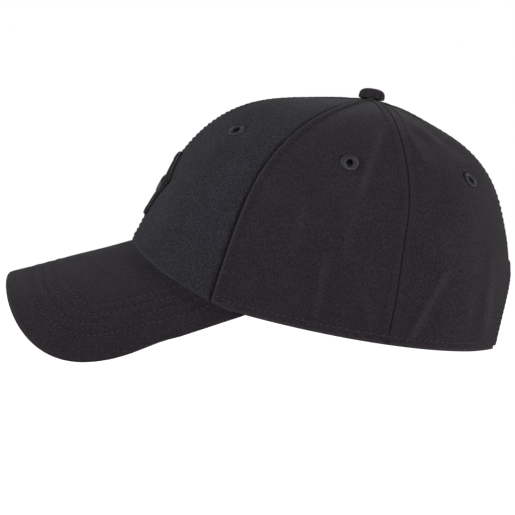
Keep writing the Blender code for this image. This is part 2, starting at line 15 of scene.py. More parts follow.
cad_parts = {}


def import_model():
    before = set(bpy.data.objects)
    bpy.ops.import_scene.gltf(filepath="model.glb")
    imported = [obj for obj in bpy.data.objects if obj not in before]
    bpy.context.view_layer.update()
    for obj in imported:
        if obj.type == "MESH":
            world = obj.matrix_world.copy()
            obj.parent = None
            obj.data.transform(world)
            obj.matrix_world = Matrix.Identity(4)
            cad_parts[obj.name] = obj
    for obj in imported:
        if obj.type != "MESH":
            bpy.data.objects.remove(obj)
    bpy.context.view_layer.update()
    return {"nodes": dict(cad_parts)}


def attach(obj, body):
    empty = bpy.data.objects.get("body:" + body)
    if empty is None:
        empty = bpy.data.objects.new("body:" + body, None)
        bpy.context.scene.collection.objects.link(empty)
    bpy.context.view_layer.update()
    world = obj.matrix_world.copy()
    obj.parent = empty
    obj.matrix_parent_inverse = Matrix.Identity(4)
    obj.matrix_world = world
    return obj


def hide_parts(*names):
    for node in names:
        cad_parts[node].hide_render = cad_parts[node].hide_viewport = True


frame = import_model()

# ---- dimensions of the CAD model ----------------------------------------------------------------------

STANCE_TILT = radians(1.44)         # nose up, so that the cap rests on its rear rim and the peak's two lobes
STANCE_BACK = 0.00101
STANCE_SINK = 0.00438
STANCE = Matrix.Translation((0, -STANCE_BACK, -STANCE_SINK)) @ Matrix.Rotation(-STANCE_TILT, 4, "X")
SIDES = (("left", 1), ("right", -1))

RIM_CENTRE_Y = 0.0308
RIM_HALF_LENGTH = 0.1019
RIM_HALF_WIDTH = 0.078
RIM_POWER = 2.6
RIM_FRONT_Y = RIM_CENTRE_Y - RIM_HALF_LENGTH
RIM_LOW_Z = 0.0072
RIM_LOW_Y = 0.115
RIM_RISE = 0.580
RIM_RISE_POWER = 1.6
RIM_CROWDING = (radians(7.1), radians(9.64))

PEAK_ARCH_RADIUS = 0.0778
PEAK_SLOPE = radians(14.5)
PEAK_SEAM_Z = 0.0685
PEAK_LENGTH = 0.0726
PEAK_HALF_WIDTH = 0.106
PEAK_POWER = 2.55
PEAK_END_U = 76.0
PEAK_END_Y = -0.004
PEAK_SIDE_BACK = 0.030
PEAK_DROP = 0.0004
PEAK_CORNER = 0.86                  # share of the outline, each side, that lies ahead of the seam's ends

APEX = (0.0, 0.0634, 0.1472)
MERIDIANS = {
    0: [
        (0.0, -0.0582, 0.0930), (0.0, -0.0440, 0.1165), (0.0, -0.0301, 0.1315),
        (0.0, -0.0052, 0.1450), (0.0, 0.0280, 0.1484), (0.0, 0.0500, 0.1483),
    ],
    30: [
        (0.0465, -0.0490, 0.0850), (0.0380, -0.0385, 0.1085), (0.0255, -0.0262, 0.1277),
        (0.0160, 0.0030, 0.1448), (0.0100, 0.0360, 0.1474),
    ],
    45: [
        (0.0630, -0.0325, 0.0820), (0.0540, -0.0235, 0.1065), (0.0410, -0.0085, 0.1283),
        (0.0280, 0.0065, 0.1415), (0.0170, 0.0370, 0.1463),
    ],
    60: [
        (0.0735, -0.0195, 0.0541), (0.0725, -0.0102, 0.0805), (0.0650, 0.0015, 0.1047),
        (0.0500, 0.0250, 0.1300), (0.0370, 0.0405, 0.1393), (0.0220, 0.0525, 0.1442),
    ],
    90: [
        (0.0795, 0.0180, 0.0500), (0.0780, 0.0270, 0.0800), (0.0690, 0.0375, 0.1080),
        (0.0520, 0.0495, 0.1290), (0.0320, 0.0580, 0.1410),
    ],
    120: [
        (0.0785, 0.0732, 0.0400), (0.0775, 0.0765, 0.0620), (0.0740, 0.0792, 0.0790),
        (0.0680, 0.0802, 0.0942), (0.0560, 0.0782, 0.1160), (0.0430, 0.0750, 0.1303),
        (0.0210, 0.0697, 0.1420),
    ],
    150: [
        (0.0585, 0.1165, 0.0450), (0.0570, 0.1160, 0.0720), (0.0500, 0.1125, 0.0975),
        (0.0375, 0.1025, 0.1175), (0.0220, 0.0885, 0.1335),
    ],
    180: [
        (0.0, 0.1406, 0.0480), (0.0, 0.1384, 0.0720), (0.0, 0.1303, 0.1020),
        (0.0, 0.1143, 0.1215), (0.0, 0.0943, 0.1345), (0.0, 0.0790, 0.1425),
    ],
}
LEVELS = 33
TOP_V = 0.999                       # as high on the crown as normals are taken
U_STEP = 0.1                        # degrees, for slopes round the crown
V_STEP = 0.001                      # share of its height, for slopes up it
FRONT_SEAM = 60                     # angles of the seams beside the front and the rear panels
REAR_SEAM = 120

FABRIC = 0.0012
LINING_DEPTH = 0.0018
LINING = 0.0006
LINING_TOP = 0.90                   # top of the lining, the tapes and the shell, as a share of the crown
FRONT_TAPE_DEPTH = 0.0030
TAPE = 0.0005
TAPE_HALF_WIDTH = 0.006
TAPE_ROW = 0.0046                   # stitch rows on both sides of a tape's middle
TAPES = {                           # angle, lower end as a share of the crown, depth
    "front_centre": (0, 0.19, FRONT_TAPE_DEPTH),
    "front_left": (60, 0.19, FRONT_TAPE_DEPTH),
    "front_right": (-60, 0.19, FRONT_TAPE_DEPTH),
    "rear_left": (120, 0.19, LINING_DEPTH),
    "rear_right": (-120, 0.19, LINING_DEPTH),
    "rear_centre": (180, 0.42, FRONT_TAPE_DEPTH),
}
ALLOWANCE = 0.0004                  # the seam allowance that lies behind each front seam
ALLOWANCE_DEPTH = 0.0022
ALLOWANCE_HALF_WIDTH = 0.0026
ALLOWANCE_LAP = 0.0030              # how far it goes down behind the sweatband
SWEATBAND = 0.0020
SWEATBAND_HEIGHT = 0.027
SWEATBAND_FOOT = 0.0010
SWEATBAND_END = 150                 # angle
LOOP_DEPTH = 0.0029
HOOK_DEPTH = 0.0039
PATCH = 0.0006
SHELL_DEPTH = 0.0049
SHELL = 0.0020
SHELL_EDGE = (0.325, 0.095, 0.012)  # share of the crown: at the middle, its sway and its bow
SLOT_SPACING = 30.0                 # the shell's vent slots, in degrees
SLOT_FIRST = -180 + 18.75
SLOT_HALF_ANGLE = 3.75
SLOT_ENDS = (4, 9)                  # twelfths of the shell's height
PANEL_TIP_V = 0.982

ARCH_HALF_WIDTH = 0.029
ARCH_HEIGHT = 0.040
ARCH_FOOT_Z = 0.0095
BINDING_WIDTH = 0.008
BINDING = 0.0022

STRAP_AXIS_Y = 0.0381
STRAP_LOW_Z = 0.0105
STRAP_HEIGHT = 0.0190
STRAP = 0.0008
STRAP_TAPE = 0.0006                 # thickness of its hook and of its loop tape
STRAP_LEFT = (0.0890, (34, -10))    # radius and end angles of its four layers
STRAP_LOOP = (0.0899, (-9, 16))
STRAP_HOOK = (0.0908, (-7, 10))
STRAP_RIGHT = (0.0919, (-34, 12))

EYELETS = {
    "front": (0.0385, -0.0115, 0.1270),
    "side": (0.0640, 0.0480, 0.1075),
    "rear": (0.0420, 0.1130, 0.0990),
}
BUTTON_RADIUS = 0.0074
BUTTON_HEIGHT = 0.0058
EMBLEM_HALF_WIDTH = 0.033
EMBLEM_HALF_HEIGHT = 0.0175
EMBLEM_Z = 0.0995
EMBLEM_RING = 0.30                  # width of the ring's side and half sizes of the centre, as shares
EMBLEM_CENTRE = (0.26, 0.30)

# ---- dimensions of the sewing -------------------------------------------------------------------------

FOLD_ROW = 0.0046           # stitch row behind the folded edge of the front seams
TWIN_ROW = 0.0050           # stitch rows on both sides of the other seams
RIM_ROW = 0.0046            # stitch row above the rim
PEAK_ROWS = (0.0140, 0.0203, 0.0264, 0.0322)   # stitch rows on the peak, in from its edge
BINDING_ROWS = (0.0017, 0.0063)
PEAK_THICKNESS = 0.0044
PEAK_COVER = 0.0009
EDGE = 0.0006               # radius of a fabric edge
SEAM_ROW_FOOT = 0.011       # where the rows beside a seam start, as a share of the crown
SEAM_ROW_REACH = 26         # and how far to the side, in degrees, they may go near the top
RIM_ROW_ENDS = (61, 154.5)  # angles
EYELET_HOLE = 0.0028


# ---- curves and surfaces ------------------------------------------------------------------------------


def unit(vectors):
    """The vectors' directions."""
    return vectors / np.maximum(np.linalg.norm(vectors, axis=-1, keepdims=True), 1e-12)


def run_length(points, axis):
    """Distance travelled along one axis of a net of points, from 0."""
    steps = np.linalg.norm(np.diff(points, axis=axis), axis=-1)
    start = np.zeros_like(np.take(steps, [0], axis=axis))
    return np.cumsum(np.concatenate([start, steps], axis=axis), axis=axis)


def fall(distance, start, end):
    """1 up to start, 0 from end on, and smooth between them."""
    t = np.clip((distance - start) / (end - start), 0, 1)
    return 1 - t * t * (3 - 2 * t)


def ridge(distance, width):
    """A smooth bell, 1 at distance 0."""
    return np.exp(-((distance / width) ** 2))


def rounded(wave, power):
    """A sine or cosine changed to follow the outline of a rounded box."""
    return np.sign(wave) * np.abs(wave) ** (2 / power)


def spline(knots, points, closed=False):
    """A cubic spline with even curvature through points at knots. A closed one ends on its first point."""
    knots = np.asarray(knots, float)
    points = np.asarray(points, float)
    step = np.diff(knots)
    slope = np.diff(points, axis=0) / step[:, None]
    last = len(knots) - 1
    system = np.eye(last + 1)
    bend = np.zeros_like(points)
    for i in range(1, last):
        system[i, i - 1 : i + 2] = step[i - 1], 2 * (step[i - 1] + step[i]), step[i]
        bend[i] = 6 * (slope[i] - slope[i - 1])
    if closed:
        system[0, last] = -1
        system[last] = 0
        system[last, [last - 1, 0, 1]] = step[-1], 2 * (step[-1] + step[0]), step[0]
        bend[last] = 6 * (slope[0] - slope[-1])
    bend = np.linalg.solve(system, bend)

    def at(where):
        where = np.atleast_1d(where)
        i = np.clip(np.searchsorted(knots, where, side="right") - 1, 0, last - 1)
        width = step[i][:, None]
        right = (where - knots[i])[:, None] / width
        left = 1 - right
        curve = (left**3 - left) * bend[i] + (right**3 - right) * bend[i + 1]
        return left * points[i] + right * points[i + 1] + curve * width**2 / 6

    return at


def arch_drop(x):
    """How far the peak's arch has fallen at a distance x from the centre line."""
    return PEAK_ARCH_RADIUS - np.sqrt(PEAK_ARCH_RADIUS**2 - np.minimum(np.abs(x), PEAK_ARCH_RADIUS) ** 2)


def rim(u):
    """Points of the rim at the angles u: on the peak in front, and a gently falling curve behind it."""
    turn = np.radians(u)
    around = turn - RIM_CROWDING[0] * np.sin(turn) + RIM_CROWDING[1] * np.sin(2 * turn)
    x = RIM_HALF_WIDTH * rounded(np.sin(around), RIM_POWER)
    y = RIM_CENTRE_Y - RIM_HALF_LENGTH * rounded(np.cos(around), RIM_POWER)
    on_peak = PEAK_SEAM_Z + (y - RIM_FRONT_Y) * tan(PEAK_SLOPE) - arch_drop(x)
    free = RIM_LOW_Z + RIM_RISE * np.abs(RIM_LOW_Y - y) ** RIM_RISE_POWER
    z = np.where(y < PEAK_END_Y, np.maximum(on_peak, free), free)
    return np.stack([x, y, z], axis=1)


def even_points(points):
    """A spline through points, read at LEVELS places that are evenly spaced along its length."""
    points = np.asarray(points, float)
    chord = run_length(points, 0)
    curve = spline(chord, points)
    fine = np.linspace(0, chord[-1], 400)
    length = run_length(curve(fine), 0)
    return curve(np.interp(np.linspace(0, length[-1], LEVELS), length, fine))


ANGLES = np.array(sorted({side * angle for angle in MERIDIANS for side in (-1, 1)}))


def meridian(angle):
    """The crown's line at an angle, from the rim to the top; the right side mirrors the left."""
    side = -1 if angle < 0 else 1
    rise = [(side * x, y, z) for x, y, z in MERIDIANS[abs(angle)]]
    return even_points([tuple(rim(np.array([float(angle)]))[0]), *rise, APEX])


round_crown = spline(ANGLES, np.eye(len(ANGLES))[[*range(len(ANGLES) - 1), 0]], closed=True)
lines_up = np.stack([meridian(angle) for angle in ANGLES], axis=1)
up_crown = spline(np.linspace(0, 1, LEVELS), lines_up.reshape(LEVELS, -1))


def crown_surface(u, v):
    """Points of the crown's outer surface, whose lower edge is exactly the rim."""
    share = round_crown((u + 180) % 360 - 180)
    share[:, 0] += share[:, -1]
    share[:, -1] = 0

    def plain(height):
        lines = up_crown(height).reshape(len(u), len(ANGLES), 3)
        return np.einsum("nk,nkc->nc", share, lines)

    fade = (1 - v)[:, None] ** 4
    return plain(v) + fade * (rim(u) - plain(np.zeros(len(u))))


def crown_frame(u, v):
    """Points of the crown, its outward normals, and metres to a degree, for arrays of any shape."""
    shape = np.shape(u)
    u = np.asarray(u, float).ravel()
    v = np.clip(np.asarray(v, float).ravel(), 0, TOP_V)
    across = crown_surface(u + U_STEP, v) - crown_surface(u - U_STEP, v)
    up = crown_surface(u, np.minimum(v + V_STEP, 1)) - crown_surface(u, np.maximum(v - V_STEP, 0))
    normal = np.cross(across, up)
    normal /= np.linalg.norm(normal, axis=1)[:, None]
    wide = np.linalg.norm(across, axis=1) / (2 * U_STEP)
    return crown_surface(u, v).reshape(*shape, 3), normal.reshape(*shape, 3), wide.reshape(shape)


def beside(angle, across, v):
    """crown_frame at the distances across from the line at an angle, at the heights v."""
    u = np.full(np.shape(v), float(angle))
    return crown_frame(u + across / crown_frame(u, v)[2], v)


def meridian_length(u):
    """Length of the crown's line at each angle u."""
    heights = np.linspace(0, TOP_V, 40)
    lines = np.stack([crown_surface(u, np.full(len(u), v)) for v in heights])
    return np.linalg.norm(np.diff(lines, axis=0), axis=2).sum(axis=0)


LENGTH_ANGLES = np.linspace(-180, 180, 145)
LENGTHS = meridian_length(LENGTH_ANGLES)


def length_at(u):
    """Length of the crown's line at each angle, read from a fine table."""
    return np.interp((np.asarray(u) + 180) % 360 - 180, LENGTH_ANGLES, LENGTHS)


def share_at(height):
    """A function that gives a height above the rim as a share of the crown's at an angle."""
    return lambda angle: height / length_at(angle)


def shell_edge(u):
    """Height of the shell's lower edge, as a share of the crown's: low in front and high behind."""
    turn = np.radians(u)
    middle, sway, bow = SHELL_EDGE
    return middle - sway * np.cos(turn) + bow * (1 - np.cos(2 * turn)) / 2


def peak_frame(along, ahead):
    """Points of the peak's top and their normals: along its arch, and ahead of its seam down the slope."""
    turn = np.asarray(along) / PEAK_ARCH_RADIUS
    ahead = np.asarray(ahead)
    x = PEAK_ARCH_RADIUS * np.sin(turn)
    y = RIM_FRONT_Y - ahead * cos(PEAK_SLOPE)
    z = PEAK_SEAM_Z - PEAK_DROP - ahead * sin(PEAK_SLOPE) - PEAK_ARCH_RADIUS * (1 - np.cos(turn))
    slope = cos(PEAK_SLOPE)
    normal = np.stack([np.sin(turn) * slope, -np.cos(turn) * sin(PEAK_SLOPE), np.cos(turn) * slope], axis=-1)
    normal /= np.linalg.norm(normal, axis=-1)[..., None]
    return np.stack([x, y, z], axis=-1), normal


# ---- soft relief of the fabric ------------------------------------------------------------------------

# Folds of the left side, each from one point (y, z) to another, its width and its height.
FOLDS = [
    ((0.0365, 0.0640), (0.0285, 0.0200), 0.0030, 0.0008),
    ((0.0680, 0.1290), (0.0515, 0.0870), 0.0034, 0.0009),
    ((0.0515, 0.0870), (0.0440, 0.0520), 0.0050, 0.0005),
    ((0.0250, 0.0890), (0.0160, 0.0560), 0.0045, 0.0005),
    ((0.0740, 0.1385), (0.1010, 0.1190), 0.0026, 0.0008),
    ((0.0780, 0.1340), (0.0930, 0.1060), 0.0030, 0.0007),
    ((0.0830, 0.1390), (0.1150, 0.1120), 0.0028, -0.0006),
    ((0.1010, 0.0520), (0.0790, 0.0120), 0.0030, 0.0010),
    ((0.0960, 0.0760), (0.1010, 0.0580), 0.0036, 0.0005),
    ((0.1270, 0.0620), (0.1235, 0.0160), 0.0032, 0.0007),
    ((0.1180, 0.0420), (0.1150, 0.0120), 0.0030, -0.0006),
    ((0.0560, 0.0420), (0.0600, 0.0180), 0.0040, 0.0005),
]
FOLD_DEPTH = 1.6
RIGHT_SHIFT = (0.0050, -0.0040)     # the right side's folds lie a little apart from the left's


def fold_relief(points):
    """Height of the soft folds at points of the crown in the untilted frame."""
    x, y, z = np.moveaxis(points, -1, 0)
    total = np.zeros_like(x)
    for start, end, width, height in FOLDS:
        for side in (1, -1):
            shift = RIGHT_SHIFT if side < 0 else (0, 0)
            y0, z0 = start[0] + shift[0], start[1] + shift[1]
            dy, dz = end[0] - start[0], end[1] - start[1]
            long = dy * dy + dz * dz
            t = ((y - y0) * dy + (z - z0) * dz) / long
            near = np.clip(t, 0, 1)
            away = np.hypot(y - y0 - near * dy, z - z0 - near * dz)
            taper = fall(np.abs(t - 0.5), 0.30, 0.62)
            shape = ridge(away, width) - 0.45 * ridge(away, 2.3 * width)
            total += FOLD_DEPTH * height * shape * taper * (side * x > 0.012)
    return total


def crest_highlight_and_wear(points):
    """Paleness along the tops of the sharper folds, from 0 to 1: a painted highlight on the crests, with
    fabric faded there.
    """
    return np.clip(fold_relief(points) / 0.0007 - 0.3, 0, 1)


def undulation(points):
    """A low, uneven waviness."""
    x, y, z = np.moveaxis(points, -1, 0)
    long_wave = np.sin(63 * x + 84 * z + 1.3) * np.sin(76 * y - 38 * z + 0.4)
    short_wave = np.sin(151 * y + 57 * z + 2.1) * np.sin(118 * z + 43 * x - 0.7)
    return long_wave + 0.55 * short_wave


def seam_relief(kind, d):
    """Height beside a seam, at the distance d from it."""
    stitched = TWIN_ROW if kind == "twin" else FOLD_ROW
    channel = -0.00020 * ridge(d - stitched, 0.0009)
    if kind == "under":
        return -0.0006 * ridge(d, 0.0018)
    if kind == "fold":
        return 0.0007 * fall(d, 0.0016, 0.0052) + 0.4 * channel
    return 0.00028 * fall(d, 0.0034, 0.0068) - 0.00025 * ridge(d, 0.0007) + channel


BUTTON_SWELL = 0.0006               # how far the gathered panels rise under the button
SEAMS = {"front": ("twin", "under"), "side": ("fold", "twin"), "rear": ("twin", "twin")}
FIRST_ANGLE = {"front": 0, "side": FRONT_SEAM, "rear": REAR_SEAM}
PANEL_ANGLE = 60
WAVES = {"front": 0.00014, "side": 0.00046, "rear": 0.00048}


def panel_relief(place, points, near, far, height):
    """Height of a panel's surface above the plain crown. near is the distance from its front seam."""
    side = np.minimum(near, far)
    soft = WAVES[place] * undulation(points) * (1 - ridge(side, 0.011)) * (1 - 0.8 * ridge(height, 0.010))
    if place != "front":
        soft += fold_relief(points) * (1 - 0.75 * ridge(side, 0.004)) * (1 - 0.8 * ridge(height, 0.006))
    seams = seam_relief(SEAMS[place][0], near) + seam_relief(SEAMS[place][1], far)
    pucker = 0.00009 * np.sin(2 * pi * height / 0.0041) * ridge(side - 0.005, 0.0035)
    hem = 0.00030 * fall(height, 0.0034, 0.0066) - 0.00026 * ridge(height - RIM_ROW, 0.0009)
    from_top = np.linalg.norm(points - np.array(APEX), axis=-1)
    soft = soft + BUTTON_SWELL * fall(from_top, 0.0070, 0.0130)
    along = near + 0.7 * far
    hem = hem + 0.00008 * np.sin(2 * pi * along / 0.0047) * ridge(height - RIM_ROW, 0.0035)
    return soft + (seams + pucker) * (1 - ridge(height, 0.0025)) + hem


def skin(u, v, lift=0.0):
    """Points on the outside of the panels with their relief, and their normals; untilted frame."""
    u, v = np.atleast_1d(u).astype(float), np.atleast_1d(v).astype(float)
    base, normal, wide = crown_frame(u, v)
    height = v * length_at(u)
    turn = np.abs((u + 180) % 360 - 180)
    relief = np.zeros_like(turn)
    for place, first in FIRST_ANGLE.items():
        last = first + PANEL_ANGLE
        here = (turn >= first) & (turn < last + 0.001)
        if here.any():
            near, far = (turn[here] - first) * wide[here], (last - turn[here]) * wide[here]
            relief[here] = panel_relief(place, base[here], near, far, height[here])
    return base + normal * (relief + lift)[:, None], normal


# ---- meshes -------------------------------------------------------------------------------------------


def world(points):
    """From the untilted frame to the model's stance."""
    return np.asarray(points) @ np.array(STANCE.to_3x3()).T + np.array(STANCE.translation)


def add_mesh(name, points, faces, finish, body="cap", nodes=(), spots=None, painted_light_and_wear=None, slot=None):
    """A piece made of points in the untilted frame. spots are its weave coordinates, in metres; the other
    per-point values lighten or darken the cloth's colour as painted highlight and painted shade, with some
    wear.
    """
    mesh = bpy.data.meshes.new(name)
    mesh.from_pydata(world(points).tolist(), [], faces)
    if spots is not None:
        weave = mesh.attributes.new("weave", "FLOAT_VECTOR", "POINT")
        flat = np.zeros((len(points), 3), np.float32)
        flat[:, :2] = spots
        weave.data.foreach_set("vector", flat.ravel())
    # Each point's painted highlight and painted shade, with some wear, kept for the cloth's colour.
    if painted_light_and_wear is not None:
        painted_light_and_wear_share = mesh.attributes.new("painted_light_and_wear", "FLOAT", "POINT")
        painted_light_and_wear_share.data.foreach_set("value", np.asarray(painted_light_and_wear, np.float32))
    shape = bmesh.new()
    shape.from_mesh(mesh)
    bmesh.ops.remove_doubles(shape, verts=shape.verts, dist=2e-6)
    bmesh.ops.recalc_face_normals(shape, faces=shape.faces)
    shape.to_mesh(mesh)
    shape.free()
    piece = bpy.data.objects.new(name, mesh)
    bpy.context.scene.collection.objects.link(piece)
    mesh.materials.append(finish)
    mesh.shade_smooth()
    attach(piece, body)
    if nodes:
        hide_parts(*nodes)
    # A finish's name may end in a number, because the CAD model has a material of the same name.
    return piece


def net_quads(index):
    """The faces of a net of point numbers."""
    return np.stack([index[:-1, :-1], index[:-1, 1:], index[1:, 1:], index[1:, :-1]], axis=-1).reshape(-1, 4)


def layers(top, bottom):
    """Values of two nets in one list: all of the upper layer, then all of the lower."""
    return np.concatenate([values.reshape(-1, *values.shape[2:]) for values in (top, bottom)])


def slab_faces(rows, columns, keep=None, wrap=False):
    """Faces of a closed slab: a net, the same net below it, and walls at each open edge."""
    index = np.arange(rows * columns).reshape(rows, columns)
    if wrap:
        index = np.concatenate([index, index[:, :1]], axis=1)
    quads = net_quads(index)
    if keep is not None:
        quads = quads[keep.ravel()]
    below = rows * columns
    start, end = quads.ravel(), np.roll(quads, -1, axis=1).ravel()
    open_edge = ~np.isin(start * below + end, end * below + start)
    a, b = start[open_edge], end[open_edge]
    walls = np.stack([b, a, a + below, b + below], axis=1)
    return np.concatenate([quads, quads[:, ::-1] + below, walls]).tolist()


def edged(length, step, radius):
    """Places from 0 to length that crowd at both ends, so that the edges there can be rounded."""
    ends = radius * np.array([0, 0.08, 0.32, 0.70, 1.15])
    inner = np.linspace(ends[-1], length - ends[-1], max(2, int((length - 2 * ends[-1]) / step) + 1))
    return np.concatenate([ends[:-1], inner, length - ends[:-1][::-1]])


def rounding(distance, radius):
    """How deep a rounded edge of that radius lies at a distance from the border."""
    inside = radius - np.minimum(distance, radius)
    return radius - np.sqrt(np.maximum(radius**2 - inside**2, 0))


def add_slab(name, outer, normal, thickness, finish, keep=None, wrap=False, border=None, spots=None,
             painted_light_and_wear=None, **more):
    """A sheet with rounded edges: outer points and normals in a net, its thickness going inwards."""
    rows, columns = outer.shape[:2]
    across, up = run_length(outer, 1), run_length(outer, 0)
    if border is None:
        border = np.minimum(up, up[-1:] - up)
        if not wrap:
            border = np.minimum(border, np.minimum(across, across[:, -1:] - across))
    half = np.broadcast_to(np.asarray(thickness) / 2, border.shape)
    pinch = half - np.sqrt(np.maximum(half**2 - (half - np.minimum(border, half)) ** 2, 0))
    top = outer - normal * pinch[..., None]
    bottom = outer - normal * (np.broadcast_to(thickness, border.shape) - pinch)[..., None]
    if spots is None:
        spots = np.stack([across - across[:, -1:] / 2, up], axis=-1)
    if painted_light_and_wear is not None:
        painted_light_and_wear = layers(painted_light_and_wear, painted_light_and_wear)
    return add_mesh(name, layers(top, bottom), slab_faces(rows, columns, keep, wrap), finish,
                    spots=layers(spots, spots), painted_light_and_wear=painted_light_and_wear, **more)


def crown_net(angles, low, high, step, radius):
    """A net on the crown between two angles, its lines crowding at the borders.

    Gives u, v, and each point's distance from the first and the second angle."""
    fan = np.linspace(angles[0], angles[1], 61)
    lows, highs = (h(fan) if callable(h) else np.full(61, float(h)) for h in (low, high))
    length = (length_at(fan) * (highs - lows)).max()
    up = edged(length, step, radius) / length
    v = lows + (highs - lows) * up[:, None]
    lines = crown_surface(np.tile(fan, len(up)), np.minimum(v, TOP_V).ravel()).reshape(len(up), 61, 3)
    run = run_length(lines, 1)
    widest = run[:, -1].max()
    pattern = edged(widest, step, radius)
    left = np.minimum(pattern, widest - pattern)
    u = np.zeros((len(up), len(pattern)))
    near = np.zeros_like(u)
    for i, width in enumerate(run[:, -1]):
        share = width / widest
        pull = (1 - share) * min(1, share / 0.3)
        kept = left * (share + pull * (1 - 2 * left / widest) ** 6)
        near[i] = np.where(pattern < widest / 2, kept, width - kept)
        u[i] = np.interp(near[i], run[i], fan)
    far = run[:, -1:] - near
    way = 1 if angles[0] < angles[1] else -1
    v = np.stack([np.interp(way * u[i], way * fan, v[i]) for i in range(len(up))])
    return u, v, near, far


def crown_slab(name, angles, low, high, depth, thickness, finish, step=0.002, **more):
    """A sheet laid at a depth below the crown's outer surface."""
    u, v, _, _ = crown_net(angles, low, high, step, thickness / 2)
    base, normal, _ = crown_frame(u, v)
    return add_slab(name, base - normal * depth, normal, thickness, finish, **more)


def add_threads(name, rows, finish, body="cap", radius=0.00026, length=0.0025, pitch=0.0033, slant=0.10):
    """Sewn stitches: on each row of (points, normals), short threads that dip into the cloth at both ends."""
    along = np.array([-0.5, -0.40, -0.18, 0.18, 0.40, 0.5]) * length
    rise = np.array([-1.3, -0.30, 0.35, 0.35, -0.30, -1.3]) * radius
    size = np.array([0.45, 0.90, 1.0, 1.0, 0.90, 0.45]) * radius
    turn = np.radians(np.arange(6) * 60)
    points, faces, count = [], [], 0
    ring = np.arange(6)
    corners = ((0, 0), (0, 1), (6, 1), (6, 0))
    pattern = [[6 * s + row + (k + turned) % 6 for row, turned in corners] for s in range(5) for k in ring]
    for line, normals in rows:
        run = run_length(line, 0)
        number = int(run[-1] / pitch)
        if number < 1:
            continue
        places = (np.arange(number)[:, None] + 0.5) * run[-1] / number + along
        centre = np.stack([np.interp(places, run, line[:, k]) for k in range(3)], axis=-1)
        upward = unit(np.stack([np.interp(places, run, normals[:, k]) for k in range(3)], axis=-1))
        ahead = unit(centre[:, -1] - centre[:, 0])[:, None]
        sideways = unit(np.cross(upward, ahead))
        centre = centre + upward * rise[:, None] + sideways * (slant * along)[:, None]
        tube = (
            centre[:, :, None]
            + sideways[:, :, None] * (np.cos(turn) * 1.1)[:, None] * size[:, None, None]
            + upward[:, :, None] * np.sin(turn)[:, None] * size[:, None, None]
        )
        points.append(tube.reshape(-1, 3))
        for i in range(number):
            base = count + 36 * i
            faces += [[base + k for k in face] for face in pattern]
            faces += [[base + k for k in ring[::-1]], [base + 30 + k for k in ring]]
        count += 36 * number
    return add_mesh(name, np.concatenate(points), faces, finish, body=body, slot="thread")


# ---- materials ----------------------------------------------------------------------------------------


class Look:
    """A material being wired up."""

    def __init__(self, name):
        self.material = bpy.data.materials.new(name)
        self.material.use_nodes = True
        self.tree = self.material.node_tree
        self.shader = self.tree.nodes["Principled BSDF"]

    def add(self, kind, inputs=None, output=0, **settings):
        """A node with those settings and inputs: values, or other nodes' outputs. Gives its own output."""
        made = self.tree.nodes.new("ShaderNode" + kind)
        for key, value in settings.items():
            setattr(made, key, value)
        for key, value in (inputs or {}).items():
            if isinstance(value, bpy.types.NodeSocket):
                self.tree.links.new(value, made.inputs[key])
            else:
                made.inputs[key].default_value = value
        return made.outputs[output]

    def maths(self, operation, *values):
        return self.add("Math", dict(enumerate(values)), operation=operation)

    def noise(self, place, scale, detail=2.0, roughness=0.6):
        inputs = {"Vector": place, "Scale": scale, "Detail": detail, "Roughness": roughness}
        return self.add("TexNoise", inputs)

    def spread(self, value, low, high, start=0.0, end=1.0):
        """value from low..high to start..end, held at both."""
        return self.add("MapRange", {0: value, 1: low, 2: high, 3: start, 4: end})

    def lines(self, weave, angle, pitch):
        """Even ribs at an angle across the weave, from 0 to 1."""
        turn = radians(angle)
        way = (cos(turn) * 2 * pi / pitch, sin(turn) * 2 * pi / pitch, 0)
        along = self.add("VectorMath", {0: weave, 1: way}, "Value", operation="DOT_PRODUCT")
        return self.maths("MULTIPLY_ADD", self.maths("SINE", along), 0.5, 0.5)

    def mix(self, share, first, second):
        made = self.tree.nodes.new("ShaderNodeMix")
        made.data_type = "RGBA"
        for socket, value in ((made.inputs[0], share), (made.inputs[6], first), (made.inputs[7], second)):
            if isinstance(value, bpy.types.NodeSocket):
                self.tree.links.new(value, socket)
            else:
                socket.default_value = value if not isinstance(value, tuple) else (*value, 1.0)
        return made.outputs[2]

    def wire(self, **inputs):
        for key, value in inputs.items():
            socket = self.shader.inputs[key.replace("_", " ")]
            if isinstance(value, bpy.types.NodeSocket):
                self.tree.links.new(value, socket)
            else:
                socket.default_value = value
        return self.material

    def bump(self, height, strength, distance):
        return self.add("Bump", {"Height": height, "Strength": strength, "Distance": distance})


